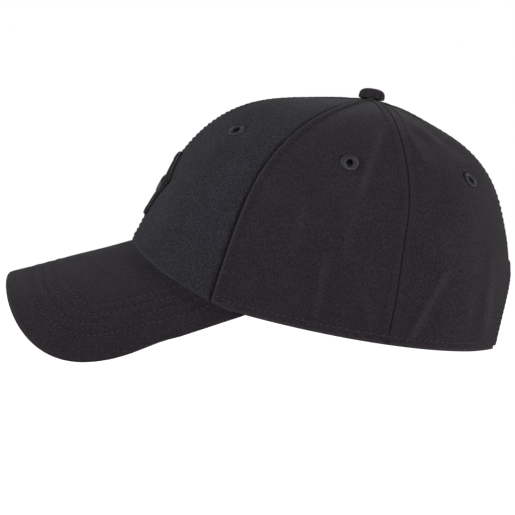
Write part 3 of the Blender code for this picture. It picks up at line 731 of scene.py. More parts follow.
def cloth(name, dark, light, speck=0.8, speck_size=0.0008, rib=0.0007, angle=58, upright=0.0, rough=0.9,
          sheen=0.06, bump=0.8, mottle=0.05):
    """Woven cotton: diagonal ribs, light yarn specks, upright streaks, slow mottling, and per-point painted
    highlights on edges and fold crests and painted shade in seams and channels, with some wear.
    """
    look = Look(name)
    place = look.add("TexCoord", output="Object")
    weave = look.add("Attribute", output="Vector", attribute_name="weave")
    painted_light_and_wear_share = look.add("Attribute", output="Fac", attribute_name="painted_light_and_wear")
    specks = look.spread(look.noise(place, 1 / speck_size, 3.0, 0.65), 0.44, 0.70)
    ribs = look.lines(weave, angle, rib)
    tall = look.add("Mapping", {"Vector": weave, "Scale": (1900, 520, 1)})
    streaks = look.spread(look.noise(tall, 1.0, 2.0, 0.7), 0.38, 0.66)
    slow = look.spread(look.noise(place, 55, 3.0, 0.55), 0.3, 0.7, -mottle, mottle)
    share = look.maths("MULTIPLY", specks, speck)
    share = look.maths("MULTIPLY_ADD", streaks, upright, share)
    share = look.maths("MULTIPLY_ADD", ribs, 0.22, share)
    share = look.maths("ADD", share, slow)
    # Painted highlights and painted shade, with some wear, lighten or darken the colour point by point.
    share = look.maths("ADD", share, look.maths("MULTIPLY", painted_light_and_wear_share, 0.9))
    clipped = look.maths("MAXIMUM", look.maths("MINIMUM", share, 1.6), 0.0)
    colour = look.mix(clipped, dark, light)
    height = look.maths("MULTIPLY_ADD", ribs, 0.5, look.maths("MULTIPLY", specks, 0.6))
    height = look.maths("MULTIPLY_ADD", streaks, 0.4 * (upright > 0), height)
    roughness = look.maths("MULTIPLY_ADD", specks, -0.10, rough)
    look.wire(Base_Color=colour, Roughness=roughness, Specular_IOR_Level=0.16, Sheen_Weight=sheen,
              Sheen_Roughness=0.45, Normal=look.bump(height, bump, 0.00022))
    return look.material


def thread_look(name, colour, pale, gloss=0.45, twist=0.00045):
    """Twisted polyester thread."""
    look = Look(name)
    place = look.add("TexCoord", output="Object")
    turn = look.lines(place, 40, twist)
    tone = look.maths("MULTIPLY_ADD", look.noise(place, 900, 2.0), 0.6, look.maths("MULTIPLY", turn, 0.4))
    look.wire(Base_Color=look.mix(tone, colour, pale), Roughness=gloss, Specular_IOR_Level=0.3,
              Normal=look.bump(turn, 0.5, 0.0001))
    return look.material


def satin_look(name, colour, pale, pitch):
    """Satin stitches: glossy threads that lie side by side across the weave's second direction, coloured
    paler on their tops and darker between them as painted highlight and painted shade.
    """
    look = Look(name)
    weave = look.add("Attribute", output="Vector", attribute_name="weave")
    threads = look.lines(weave, 90, pitch)
    strands = look.noise(look.add("Mapping", {"Vector": weave, "Scale": (160, 3200, 1)}), 1.0, 2.0)
    height = look.maths("MULTIPLY_ADD", strands, 0.5, threads)
    # The colour follows the thread height: painted highlight on the thread tops, painted shade between them.
    look.wire(Base_Color=look.mix(look.maths("MULTIPLY", height, 0.7), colour, pale), Specular_IOR_Level=0.30,
              Roughness=look.maths("MULTIPLY_ADD", strands, 0.16, 0.26), Anisotropic=0.5,
              Normal=look.bump(height, 0.9, 0.00030))
    return look.material


def moulded(name, colour, pale, rough=0.42):
    """Moulded plastic with a fine spark texture and handling marks."""
    look = Look(name)
    place = look.add("TexCoord", output="Object")
    fine = look.noise(place, 900.0, 3.0, 0.6)
    slow = look.noise(place, 28, 4.0, 0.6)
    drawn = look.add("Mapping", {"Vector": place, "Scale": (220, 60, 900)})
    scuffs = look.spread(look.noise(drawn, 1.0, 3.0), 0.62, 0.78)
    tone = look.maths("MULTIPLY_ADD", scuffs, 0.35, look.maths("MULTIPLY", slow, 0.5))
    roughness = look.maths("MULTIPLY_ADD", slow, 0.20, rough)
    look.wire(Base_Color=look.mix(tone, colour, pale), Roughness=roughness,
              Normal=look.bump(fine, 0.30, 0.00015))
    return look.material


def foam_look(name, colour, pale):
    """Fine closed foam under a knitted cover."""
    look = Look(name)
    place = look.add("TexCoord", output="Object")
    cells = look.add("TexVoronoi", {"Vector": place, "Scale": 900.0}, "Distance")
    slow = look.spread(look.noise(place, 80, 3.0), 0.3, 0.7)
    tone = look.maths("MULTIPLY_ADD", cells, 0.8, look.maths("MULTIPLY", slow, 0.4))
    look.wire(Base_Color=look.mix(tone, colour, pale), Roughness=0.92, Specular_IOR_Level=0.25,
              Sheen_Weight=0.3, Normal=look.bump(cells, 0.7, 0.0003))
    return look.material


def pile_look(name, colour, pale, scale):
    """Hook or loop tape: a dense, springy pile."""
    look = Look(name)
    place = look.add("TexCoord", output="Object")
    tufts = look.add("TexVoronoi", {"Vector": place, "Scale": scale}, "Distance")
    hairs = look.noise(place, 3 * scale, 3.0, 0.7)
    height = look.maths("MULTIPLY_ADD", hairs, 0.5, tufts)
    look.wire(Base_Color=look.mix(height, colour, pale), Roughness=0.85, Sheen_Weight=0.5,
              Normal=look.bump(height, 1.0, 0.0005))
    return look.material


def metal_look(name):
    """Brushed steel."""
    look = Look(name)
    place = look.add("TexCoord", output="Object")
    brushed = look.noise(look.add("Mapping", {"Vector": place, "Scale": (2500, 2500, 200)}), 1.0, 3.0)
    look.wire(Base_Color=look.mix(brushed, (0.42, 0.42, 0.43), (0.62, 0.62, 0.63)), Metallic=1.0,
              Roughness=look.maths("MULTIPLY_ADD", brushed, 0.25, 0.22),
              Normal=look.bump(brushed, 0.2, 0.0001))
    return look.material


SATIN_PITCH = 0.0008

FRONT = cloth("front_twill", (0.0035, 0.0034, 0.0050), (0.048, 0.045, 0.059), speck=0.62, speck_size=0.00085,
              upright=0.22)
SIDE = cloth("side_twill", (0.0040, 0.0028, 0.0042), (0.037, 0.030, 0.038), speck=0.55, speck_size=0.00075,
             upright=0.36)
PEAK = cloth("peak_twill", (0.0040, 0.0028, 0.0042), (0.034, 0.027, 0.035), speck=0.60, speck_size=0.00075,
             angle=32, upright=0.26)
THREAD = thread_look("thread", (0.010, 0.0095, 0.012), (0.040, 0.038, 0.046), gloss=0.6)
DARK_THREAD = thread_look("dark_thread", (0.004, 0.0034, 0.0045), (0.0125, 0.0115, 0.0140), gloss=0.75)
EYELET_THREAD = thread_look("eyelet_thread", (0.008, 0.008, 0.010), (0.038, 0.037, 0.044), gloss=0.5)
SATIN = satin_look("satin", (0.0012, 0.0012, 0.0016), (0.012, 0.012, 0.014), SATIN_PITCH)
TAPE_CLOTH = cloth("tape", (0.012, 0.012, 0.014), (0.040, 0.040, 0.045), speck=0.3, rib=0.0011, angle=45)
BAND = cloth("sweatband", (0.018, 0.018, 0.021), (0.065, 0.065, 0.072), speck=0.45, rib=0.0009, angle=45,
             rough=0.93)
SHELL_PLASTIC = moulded("shell", (0.018, 0.018, 0.020), (0.036, 0.036, 0.039))
FOAM = foam_look("foam", (0.050, 0.050, 0.055), (0.11, 0.11, 0.118))
LOOP = pile_look("loop_pile", (0.008, 0.008, 0.009), (0.035, 0.035, 0.038), 1100.0)
HOOK = pile_look("hook_pile", (0.006, 0.006, 0.007), (0.030, 0.030, 0.032), 750.0)
BOARD = moulded("board", (0.020, 0.020, 0.022), (0.040, 0.040, 0.043), rough=0.5)
STEEL = metal_look("steel")


# ---- the fabric cap -----------------------------------------------------------------------------------


def crown_tree():
    """The plain crown's outside, to find places on it."""
    u, v = np.meshgrid(np.linspace(-180, 180, 181), np.linspace(0, 0.995, 81))
    points = crown_frame(u, v)[0].reshape(-1, 3)
    quads = net_quads(np.arange(u.size).reshape(u.shape))
    return BVHTree.FromPolygons(points.tolist(), quads.tolist())


CROWN = crown_tree()


def eyelet_frame(place, sign):
    """An eyelet's centre on the crown and its normal, side and up directions."""
    x, y, z = EYELETS[place]
    centre, normal, _, _ = CROWN.find_nearest(Vector((sign * x, y, z)))
    if normal.x * sign < 0:
        normal.negate()
    normal = np.array(normal)
    side = unit(np.cross((0, 0, 1.0), normal))
    return np.array(centre), normal, side, np.cross(normal, side)


def arch_distance(points):
    """Signed distance outside the middle line of the binding, seen along Y."""
    x, z = points[..., 0], points[..., 2] - ARCH_FOOT_Z
    reach = BINDING_WIDTH * 0.55
    a, b = ARCH_HALF_WIDTH + reach, ARCH_HEIGHT + reach
    level = np.sqrt((x / a) ** 2 + (z / b) ** 2)
    slope = np.hypot(x / a**2, z / b**2) / np.maximum(level, 1e-9)
    return np.where(points[..., 1] > 0.08, (level - 1) / np.maximum(slope, 1e-9), 1.0)


def cell_mean(values):
    """The mean of a net's values at each face's corners."""
    return (values[:-1, :-1] + values[:-1, 1:] + values[1:, 1:] + values[1:, :-1]) / 4


def add_panels():
    """The six twill panels with their folds, seams, hem and holes."""
    finishes = {"front": FRONT, "side": SIDE, "rear": SIDE}
    for place, first in FIRST_ANGLE.items():
        for side, sign in SIDES:
            angles = (sign * first, sign * (first + PANEL_ANGLE))
            u, v, near, far = crown_net(angles, 0.0, PANEL_TIP_V, 0.0012, EDGE)
            base, normal, _ = crown_frame(u, v)
            height = v * length_at(u)
            hole_centre, hole_normal, _, _ = eyelet_frame(place, sign)
            offset = base - hole_centre
            offset = offset - (offset @ hole_normal)[..., None] * hole_normal
            from_hole = np.linalg.norm(offset, axis=-1)
            keep = cell_mean(from_hole) > EYELET_HOLE
            dimple = -0.0005 * ridge(from_hole, 0.0065)
            if place == "rear":
                keep &= cell_mean(arch_distance(base)) > 0
            lift = panel_relief(place, base, near, far, height) + dimple
            outer = base + normal * lift[..., None]
            to_tip = PANEL_TIP_V * length_at(u) - height
            outer = outer - normal * (0.0004 * fall(to_tip, 0.004, 0.012))[..., None]
            border = np.minimum(np.minimum(near, far), np.minimum(height, to_tip))
            # Paler along the panel's lower edge at the rim: painted highlight, with some wear.
            painted_light_and_wear = (0.2 if place == "front" else 0.6) * ridge(height - 0.0006, 0.0009)
            for kind, d in zip(SEAMS[place], (near, far)):
                if kind == "fold":
                    # Painted highlight along the folded edge of the side panel.
                    painted_light_and_wear = painted_light_and_wear + 0.8 * ridge(d - 0.0003, 0.0005)
                elif kind == "twin":
                    # Painted highlight beside a twin-stitched seam and painted shade in its groove.
                    painted_light_and_wear = painted_light_and_wear + 0.12 * ridge(d - 0.0010, 0.0008) - 0.3 * ridge(d, 0.0005)
                else:
                    # Painted shade where the front panel runs under the side panel's folded edge.
                    painted_light_and_wear = painted_light_and_wear - 0.6 * ridge(d, 0.0014)
            if place != "front":
                # Painted highlight on the fold crests, with some faded fabric.
                painted_light_and_wear = painted_light_and_wear + 0.32 * crest_highlight_and_wear(base)
            spots = np.stack([near - far, 2 * height], axis=-1) / 2
            add_slab(
                f"{place}_panel_{side}_twill", outer, normal, FABRIC, finishes[place], keep=keep,
                border=border, spots=spots, painted_light_and_wear=painted_light_and_wear, nodes=[f"{place}_panel_{side}"],
            )


def seam_row(angle, d, low=0.0, high=0.955, count=260):
    """A line beside the seam at an angle, the distance d to its left (+) or right (-)."""
    v = np.linspace(low, high, count)
    u = np.full(count, float(angle))
    wide = crown_frame(u, v)[2]
    off = d / wide
    good = np.abs(off) < SEAM_ROW_REACH
    return skin((u + off)[good], v[good])


def level_row(start, end, height, count=400):
    """A line along the crown at a height above its rim."""
    u = np.linspace(start, end, count)
    return skin(u, height / length_at(u))


def add_seams():
    """Rows of stitches on the panels, and a bar tack at the foot of each rear seam."""
    pair = (TWIN_ROW, -TWIN_ROW)
    front = [seam_row(0, d, SEAM_ROW_FOOT) for d in pair]
    front += [level_row(1 - FRONT_SEAM, FRONT_SEAM - 1, RIM_ROW, 500)]
    side = [seam_row(sign * FRONT_SEAM, sign * FOLD_ROW, 0.010) for _, sign in SIDES]
    side += [seam_row(sign * REAR_SEAM, d, SEAM_ROW_FOOT) for _, sign in SIDES for d in pair]
    upper = (ARCH_HEIGHT + ARCH_FOOT_Z + BINDING_WIDTH) / length_at(180.0)
    side += [seam_row(180, d, upper) for d in pair]
    start, end = RIM_ROW_ENDS
    rims = [level_row(sign * start, sign * end, RIM_ROW, 500) for _, sign in SIDES]
    across = 0.0004 * (np.arange(7) - 3)
    bars = [seam_row(sign * REAR_SEAM, d, 0.004, 0.030, 12) for _, sign in SIDES for d in across]
    add_threads("stitches_front", front, DARK_THREAD, pitch=0.0030, length=0.0022)
    add_threads("stitches_seams", side, DARK_THREAD)
    add_threads("stitches_rim", rims, THREAD, pitch=0.0034, length=0.0024)
    add_threads("bar_tacks", bars, DARK_THREAD, pitch=0.0046, length=0.0044, radius=0.00022, slant=0)


def band_swell(height):
    """The sweatband's thickness as a share of its greatest, at a share of its height."""
    return 0.5 + 0.5 * np.sin(pi * np.clip(height, 0, 1)) ** 0.6


def add_lining():
    """Backing, taped seams and the sweatband on the inside of the crown."""
    for side, sign in SIDES:
        crown_slab(f"front_backing_{side}_cloth", (sign * 2.5, sign * 56.5), 0.185, LINING_TOP, LINING_DEPTH,
                   LINING, TAPE_CLOTH, nodes=[f"front_backing_{side}"])
    rows = []
    for name, (angle, low, depth) in TAPES.items():
        length = float(length_at(angle))
        up = edged(length * (LINING_TOP - low), 0.002, TAPE / 2)
        across = edged(2 * TAPE_HALF_WIDTH, 0.0010, TAPE / 2) - TAPE_HALF_WIDTH
        v, across = np.meshgrid(low + (LINING_TOP - low) * (up / up[-1]), across, indexing="ij")
        base, normal, _ = beside(angle, across, v)
        ripple = 0.00012 * np.sin(2 * pi * v * length / 0.0052) * ridge(np.abs(across) - TAPE_ROW, 0.0016)
        outer = base - normal * (depth + 0.00008 - ripple)[..., None]
        add_slab(f"seam_tape_{name}_cloth", outer, normal, TAPE, TAPE_CLOTH, nodes=[f"seam_tape_{name}"])
        for d in (-TAPE_ROW, TAPE_ROW):
            point, out, _ = beside(angle, d, np.linspace(low + 0.01, LINING_TOP - 0.005, 200))
            rows.append((point - out * (depth + TAPE), -out))
    add_threads("stitches_tape", rows, DARK_THREAD)

    across = np.linspace(-ALLOWANCE_HALF_WIDTH, ALLOWANCE_HALF_WIDTH, 5)
    for name, sign in SIDES:
        lowest = (SWEATBAND_HEIGHT - ALLOWANCE_LAP) / float(length_at(sign * FRONT_SEAM))
        v, aside = np.meshgrid(np.linspace(lowest, LINING_TOP, 60), across, indexing="ij")
        base, normal, _ = beside(sign * FRONT_SEAM, aside, v)
        add_slab(f"seam_allowance_{name}", base - normal * ALLOWANCE_DEPTH, normal, ALLOWANCE, TAPE_CLOTH)

    ends = (-SWEATBAND_END, SWEATBAND_END)
    u, v, _, _ = crown_net(ends, share_at(SWEATBAND_FOOT), share_at(SWEATBAND_HEIGHT), 0.0016, SWEATBAND / 2)
    base, normal, _ = crown_frame(u, v)
    height = v * length_at(u) / SWEATBAND_HEIGHT
    swell = band_swell(height)
    ripple = 0.06 * np.sin(2 * pi * u / 2.9 + 1.2 * np.sin(u / 7)) * fall(height, 0.2, 0.7)
    thickness = SWEATBAND * np.clip(swell + ripple * swell, 0.35, 1.0) + 0.0004
    outer = base - normal * LINING_DEPTH
    band = add_slab("sweatband_pad", outer, normal, thickness, BAND, nodes=["sweatband"])
    rows = []
    for inset in (0.0036, SWEATBAND_HEIGHT - 0.0028):
        around = np.linspace(1 - SWEATBAND_END, SWEATBAND_END - 1, 700)
        point, out, _ = crown_frame(around, inset / length_at(around))
        full = SWEATBAND * band_swell(inset / SWEATBAND_HEIGHT) + 0.0004
        rows.append((point - out * (LINING_DEPTH + full), -out))
    add_threads("stitches_sweatband", rows, THREAD)


# ---- the peak -----------------------------------------------------------------------------------------


def peak_outline(t):
    """The peak's edge in its own flat sheet: along the arch and ahead of the seam."""
    size = np.minimum(np.abs(t) / PEAK_CORNER, 1) * pi / 2
    along = PEAK_HALF_WIDTH * np.sin(size) ** (2 / PEAK_POWER)
    ahead = PEAK_LENGTH * np.abs(np.cos(size)) ** (2 / PEAK_POWER)
    back = np.clip((np.abs(t) - PEAK_CORNER) / (1 - PEAK_CORNER), 0, 1)
    return np.sign(t) * along, np.where(back > 0, -PEAK_SIDE_BACK * back, ahead)


def peak_seam(t):
    """The peak's seam in the same sheet."""
    point = rim(t * PEAK_END_U)
    along = PEAK_ARCH_RADIUS * np.arcsin(point[:, 0] / PEAK_ARCH_RADIUS)
    return along, (RIM_FRONT_Y - point[:, 1]) / cos(PEAK_SLOPE)


def even_line(points, count):
    """A line resampled evenly."""
    run = run_length(points, 0)
    even = np.linspace(0, run[-1], count)
    return np.stack([np.interp(even, run, points[:, k]) for k in range(points.shape[1])], axis=1)


PEAK_SEAM = np.stack(peak_seam(np.linspace(-1, 1, 601)), axis=1)
PEAK_EDGE = np.stack(peak_outline(np.linspace(-1, 1, 4001)), axis=1)
PEAK_EDGE = even_line(np.concatenate([PEAK_SEAM[:1], PEAK_EDGE, PEAK_SEAM[-1:]]), 1101)


def distance_to(line, points):
    """Distance from each point to a line of short segments."""
    flat = points.reshape(-1, 2)
    best = np.full(len(flat), 1.0)
    for start in range(0, len(line), 60):
        chunk = line[start : start + 60]
        gap = np.linalg.norm(flat[:, None] - chunk[None], axis=2)
        best = np.minimum(best, gap.min(axis=1))
    return best.reshape(points.shape[:-1])


PEAK_END_LIFT = 0.0026              # how far each end of the peak rises under the rim
PEAK_END_TUCK = 0.0009              # and how far it moves inwards


def peak_relief(inset, spots):
    """Height of the peak's cover: channels along the stitch rows and a soft swell between them."""
    total = 0.00012 * np.sin(150 * spots[..., 0] + 1) * np.sin(170 * spots[..., 1] + 2)
    for row in PEAK_ROWS:
        total = total - 0.00038 * ridge(inset - row, 0.0013)
    total = total + 0.00022 * fall(np.abs(inset - 0.0230), 0.0085, 0.0125)
    return total


def add_peak():
    """The peak's upper and lower covers, which meet round its edge, and the board between them."""
    t = np.linspace(-1, 1, 241)
    far = np.stack(peak_outline(t), axis=1)
    near = np.stack(peak_seam(t), axis=1)
    near[:, 1] -= 0.0022 * (1 - np.abs(t) ** 8)
    pattern = edged(PEAK_LENGTH, 0.0013, PEAK_THICKNESS / 2)
    pattern = np.concatenate([[0.0], pattern[5:]]) / PEAK_LENGTH
    extra = 1 - np.array([0.0028, 0.0020, 0.0013, 0.0007, 0.0002]) / PEAK_LENGTH
    share = np.unique(np.round(np.concatenate([pattern, extra]), 6))
    spots = near[None] + (far - near)[None] * share[:, None, None]
    inset = distance_to(PEAK_EDGE, spots)
    inset[-1] = 0
    middle = PEAK_THICKNESS / 2
    skin_depth = rounding(inset, middle) - peak_relief(inset, spots) * fall(-inset, -0.004, -0.0015)
    inner = PEAK_COVER + rounding(np.maximum(inset - PEAK_COVER, 0), middle - PEAK_COVER)
    inner = np.minimum(np.maximum(inner, skin_depth + 0.0001), middle - 0.00003)
    skin_depth = np.minimum(skin_depth, middle - 0.00003)
    base, normal = peak_frame(spots[..., 0], spots[..., 1])
    tuck = (1 - fall(np.abs(t), 0.84, 0.97))[None, :, None]
    base = base + tuck * (0, 0, PEAK_END_LIFT) - tuck * np.sign(t)[None, :, None] * (PEAK_END_TUCK, 0, 0)
    from_seam = share[:, None] * np.linalg.norm(far - near, axis=1)
    # Painted highlight along the peak's edge, with some wear, and painted shade on the peak beside its seam
    # under the crown.
    painted_light_and_wear = 0.25 * ridge(inset - 0.0008, 0.0012) - 0.28 * ridge(from_seam - 0.002, 0.008)
    for row in PEAK_ROWS:
        # Painted shade in the stitch channels.
        painted_light_and_wear = painted_light_and_wear - 0.12 * ridge(inset - row, 0.0008)
    board_top = np.minimum(inner + 0.00012, middle - 0.00001)
    cloth_data = {"spots": layers(spots, spots), "painted_light_and_wear": layers(painted_light_and_wear, painted_light_and_wear)}
    under = PEAK_THICKNESS
    for name, node, top, bottom, finish, more in (
        ("peak_upper_cover_twill", "peak_upper_cover", skin_depth, inner, PEAK, cloth_data),
        ("peak_lower_cover_twill", "peak_lower_cover", under - skin_depth, under - inner, PEAK, cloth_data),
        ("peak_board_sheet", "peak_board", board_top, under - board_top, BOARD, {}),
    ):
        points = layers(*(base - normal * depth[..., None] for depth in (top, bottom)))
        add_mesh(name, points, slab_faces(*inset.shape), finish, nodes=[node], **more)
    add_peak_stitches()


def add_peak_stitches():
    """Four rows of stitches that follow the peak's edge from seam to seam, seen above and below."""
    ahead = unit(np.gradient(PEAK_EDGE, axis=0))
    inward = np.stack([ahead[:, 1], -ahead[:, 0]], axis=1)
    seam_at = PEAK_SEAM[np.argsort(PEAK_SEAM[:, 0])]
    above, below = [], []
    for row in PEAK_ROWS:
        line = PEAK_EDGE + inward * row
        clear = line[:, 1] > np.interp(line[:, 0], seam_at[:, 0], seam_at[:, 1]) + 0.0015
        clear &= distance_to(PEAK_EDGE, line) > row - 0.0004
        line = even_line(line[clear], 500)
        base, normal = peak_frame(line[:, 0], line[:, 1])
        above.append((base - normal * 0.00028, normal))
        below.append((base - normal * (PEAK_THICKNESS - 0.00028), -normal))
    add_threads("stitches_peak", above, THREAD, pitch=0.0033, length=0.0025)
    add_threads("stitches_peak_under", below, DARK_THREAD, pitch=0.0033, length=0.0025)


# ---- trim ---------------------------------------------------------------------------------------------


def turned_mesh(name, profile, steps, place, finish, nodes, shape=None, **more):
    """A closed profile of (radius, height), turned about an axis. place is (centre, side, up, axis)."""
    centre, side, up, axis = place
    turn = np.linspace(0, 2 * pi, steps, endpoint=False)
    radius, height = np.array(profile).T
    radius = np.repeat(radius[:, None], steps, axis=1)
    height = np.repeat(height[:, None], steps, axis=1)
    if shape is not None:
        radius, height = shape(radius, height, turn)
    points = (
        centre + radius[..., None] * (np.cos(turn)[:, None] * side + np.sin(turn)[:, None] * up)
        + height[..., None] * axis
    )
    index = np.arange(len(profile) * steps).reshape(len(profile), steps)
    quads = net_quads(np.concatenate([index, index[:, :1]], axis=1))
    spots = np.stack([radius * np.cos(turn), radius * np.sin(turn)], axis=-1).reshape(-1, 2)
    return add_mesh(name, points.reshape(-1, 3), quads.tolist(), finish, nodes=nodes, spots=spots, **more)


def add_eyelets():
    """Six embroidered eyelets: a raised ring of radial threads round each hole."""
    angle = np.linspace(0, pi, 11)
    middle, half = 0.0035, 0.0015
    profile = [(middle - half * cos(a), 0.0002 + 0.0010 * sin(a) ** 0.9) for a in angle]
    profile += [(0.0049, -0.0004), (0.0030, -0.0008), (0.0028, -0.0016), (0.0019, -0.0016), (0.0019, -0.0004)]
    profile.append(profile[0])

    def threads(radius, height, turn):
        wave = 0.5 + 0.5 * np.cos(turn * 30 + 0.4 * np.sin(3 * turn))
        raised = np.clip(height / 0.001, 0, 1)
        return radius + 0.00022 * raised * wave * np.sign(radius - middle), height - 0.00034 * raised * wave

    for place in EYELETS:
        for side, sign in SIDES:
            centre, normal, across, up = eyelet_frame(place, sign)
            centre = centre - normal * 0.0002
            turned_mesh(f"eyelet_{place}_{side}_stitched", profile, 180, (centre, across, up, normal),
                        EYELET_THREAD, [f"eyelet_{place}_{side}"], threads, slot="thread")


def add_button():
    """The button on top, covered in the panels' twill."""
    axis = np.array(Matrix.Rotation(-radians(8.7), 3, "X") @ Vector((0, 0, 1)))
    side = np.array((1.0, 0, 0))
    centre = np.array(APEX)
    foot, top = 0.0002, 0.0005 + BUTTON_HEIGHT
    shoulder = foot + 0.0012
    angle = np.linspace(0, pi / 2, 15)
    profile = [(BUTTON_RADIUS * sin(a) ** 0.68, shoulder + (top - shoulder) * cos(a) ** 0.72) for a in angle]
    under = ((0.99, 0.0007), (0.94, 0.0002), (0.85, 0.0), (0.26, 0.0))
    profile += [(BUTTON_RADIUS * share, foot + rise) for share, rise in under]
    profile += [(0.26 * BUTTON_RADIUS, foot + 0.0036), (0.0, foot + 0.0036)]

    def gathers(radius, height, turn):
        low = np.clip((top - height) / (top - foot), 0, 1) ** 3
        fold = np.sin(11 * turn + 0.8 * np.sin(2 * turn)) + 0.5 * np.sin(23 * turn + 1)
        return radius * (1 + 0.016 * low * fold), height

    place = (centre, side, np.cross(axis, side), axis)
    turned_mesh("top_button_twill", profile, 96, place, SIDE, ["top_button"], gathers)


def places_along_y(x, z, level, way):
    """Points of the crown met by going way (1 or -1) along Y, at each x and z over a level, and normals."""
    found = []
    for a, b in zip(np.ravel(x), np.ravel(z)):
        hit, normal, _, _ = CROWN.ray_cast(Vector((a, -0.3 * way, level + b)), Vector((0, way, 0)))
        found.append((*hit, *(normal if normal.y * way < 0 else -normal)))
    found = np.array(found).reshape(*np.shape(x), 6)
    return found[..., :3], found[..., 3:]


def add_embroidery(name, x, z, lift, spots, wrap=False):
    """Satin embroidery on the front: a net of places whose top stands at lift above the cloth."""
    base, normal = places_along_y(x, z, EMBLEM_Z, 1)
    top, bottom = (base + normal * rise[..., None] for rise in (lift, np.full(x.shape, 0.00005)))
    add_mesh(f"{name}_satin", layers(top, bottom), slab_faces(*x.shape, wrap=wrap), SATIN, nodes=[name],
             spots=layers(spots, spots))


def add_emblem():
    """The raised embroidery: a plain hexagon ring and its centre piece, in satin stitches over foam."""
    corner = np.array([(cos(radians(60 * k)), sin(radians(60 * k)) / sin(radians(60))) for k in range(7)])
    steps, reach = 720, 14
    edge = even_line(corner * (EMBLEM_HALF_WIDTH, EMBLEM_HALF_HEIGHT), steps + 1)[:-1]
    soft = sum(np.roll(edge, k, axis=0) for k in range(-reach, reach + 1)) / (2 * reach + 1)
    share = np.linspace(0, 1, 15)
    x, z = (soft[None, :, k] * (1 - EMBLEM_RING * share)[:, None] for k in (0, 1))
    thread = 0.5 + 0.5 * np.cos(np.arange(steps) * 2 * pi / 4)
    dome = 0.0017 * (1 - (2 * share - 1) ** 4) ** 0.5
    lift = 0.0003 + dome[:, None] * (1 - 0.20 * thread[None])
    spots = np.stack(np.meshgrid(share * 0.006, np.arange(steps) * 0.0002, indexing="ij"), axis=-1)
    add_embroidery("emblem_ring", x, z, lift, spots, wrap=True)

    across, up = np.meshgrid(np.linspace(-1, 1, 121), np.sin(np.linspace(-pi / 2, pi / 2, 25)))
    across = across * np.sqrt(1 - up**2)
    x, z = across * EMBLEM_CENTRE[0] * EMBLEM_HALF_WIDTH, up * EMBLEM_CENTRE[1] * EMBLEM_HALF_HEIGHT
    level = np.sqrt(np.maximum(1 - (across**2 + up**2) ** 2, 0))
    thread = 0.5 + 0.5 * np.cos(x * 2 * pi / SATIN_PITCH)
    lift = 0.0003 + 0.0016 * level * (1 - 0.20 * thread)
    add_embroidery("emblem_centre", x, z, lift, np.stack([z, x], axis=-1))


def add_binding():
    """The folded band round the rear opening, with a stitch row along both its edges."""
    length = pi * (ARCH_HALF_WIDTH + ARCH_HEIGHT + BINDING_WIDTH) / 2
    turn = edged(length, 0.0012, BINDING / 2) / length * pi
    out = edged(BINDING_WIDTH, 0.0007, BINDING / 2)
    out, turn = np.meshgrid(out, turn, indexing="ij")
    x = -(ARCH_HALF_WIDTH + out) * np.cos(turn)
    z = (ARCH_HEIGHT + out) * np.sin(turn)
    base, normal = places_along_y(x, z, ARCH_FOOT_Z, -1)
    channel = sum(ridge(out - d, 0.0007) for d in BINDING_ROWS)
    pucker = np.sin(turn * length / pi * 2 * pi / 0.0043) * channel
    lift = 0.0009 - 0.0003 * channel + 0.00006 * pucker
    spots = np.stack([turn * length / pi, out], axis=-1)
    # Paler along both edges of the binding: painted highlight, with some wear.
    painted_light_and_wear = 0.5 * ridge(np.minimum(out, BINDING_WIDTH - out) - 0.0005, 0.0007)
    add_slab("rear_arch_binding_cloth", base + normal * lift[..., None], normal, BINDING + 0.0006, SIDE,
             spots=spots, painted_light_and_wear=painted_light_and_wear, nodes=["rear_arch_binding"], slot="tape")
    rows = []
    for d in BINDING_ROWS:
        t = np.linspace(0.04, pi - 0.04, 260)
        x, z = -(ARCH_HALF_WIDTH + d) * np.cos(t), (ARCH_HEIGHT + d) * np.sin(t)
        base, normal = places_along_y(x, z, ARCH_FOOT_Z, -1)
        rows.append((base + normal * 0.00068, normal))
    add_threads("stitches_binding", rows, DARK_THREAD, pitch=0.0031, length=0.0023)


def strap_places(radius, angle, z):
    """Points round the strap's axis, and the directions away from it."""
    turn = np.radians(angle)
    point = np.stack([radius * np.sin(turn), STRAP_AXIS_Y + radius * np.cos(turn), z + 0 * turn], axis=-1)
    out = np.stack([np.sin(turn), np.cos(turn), 0 * turn], axis=-1)
    return point, out


def add_band(name, radius, angles, low, high, thickness, finish, body, nodes, slot, tongue=False, fuzz=0.0):
    """A flat band round the strap's axis, between two angles. A tongue has its second end rounded off."""
    length = radians(abs(angles[1] - angles[0])) * radius
    along, up = np.meshgrid(edged(length, 0.0012, thickness / 2), edged(high - low, 0.0009, thickness / 2))
    if tongue:
        from_end = length - along
        half = (high - low) / 2
        corner = 0.0055
        cut_in = np.maximum(corner - from_end, 0)
        room = half - corner + np.sqrt(np.maximum(corner**2 - cut_in**2, 0))
        up = half + (up - half) * room / half
    angle = angles[0] + (angles[1] - angles[0]) * along / length
    point, out = strap_places(radius + thickness, angle, low + up)
    lift = 0.00012 * np.sin(2 * pi * along / 0.021 + 1) * np.sin(pi * up / (high - low))
    lift = lift + fuzz * np.sin(along * 2 * pi / 0.0011) * np.sin(up * 2 * pi / 0.0011)
    point = point + out * lift[..., None]
    edge = np.minimum(np.minimum(along, length - along), np.minimum(up, high - low - up))
    # Paler along the band's edges: painted highlight, with some wear.
    return add_slab(name, point, out, thickness, finish, body=body, nodes=nodes, slot=slot,
                    spots=np.stack([along, up], axis=-1), painted_light_and_wear=0.35 * ridge(edge - 0.0004, 0.0005))


def band_rows(radius, angles, levels):
    """Lines for stitches along a band, one at each level."""
    angle = np.linspace(angles[0], angles[1], 160)
    return [strap_places(radius, angle, np.full(160, z)) for z in levels]


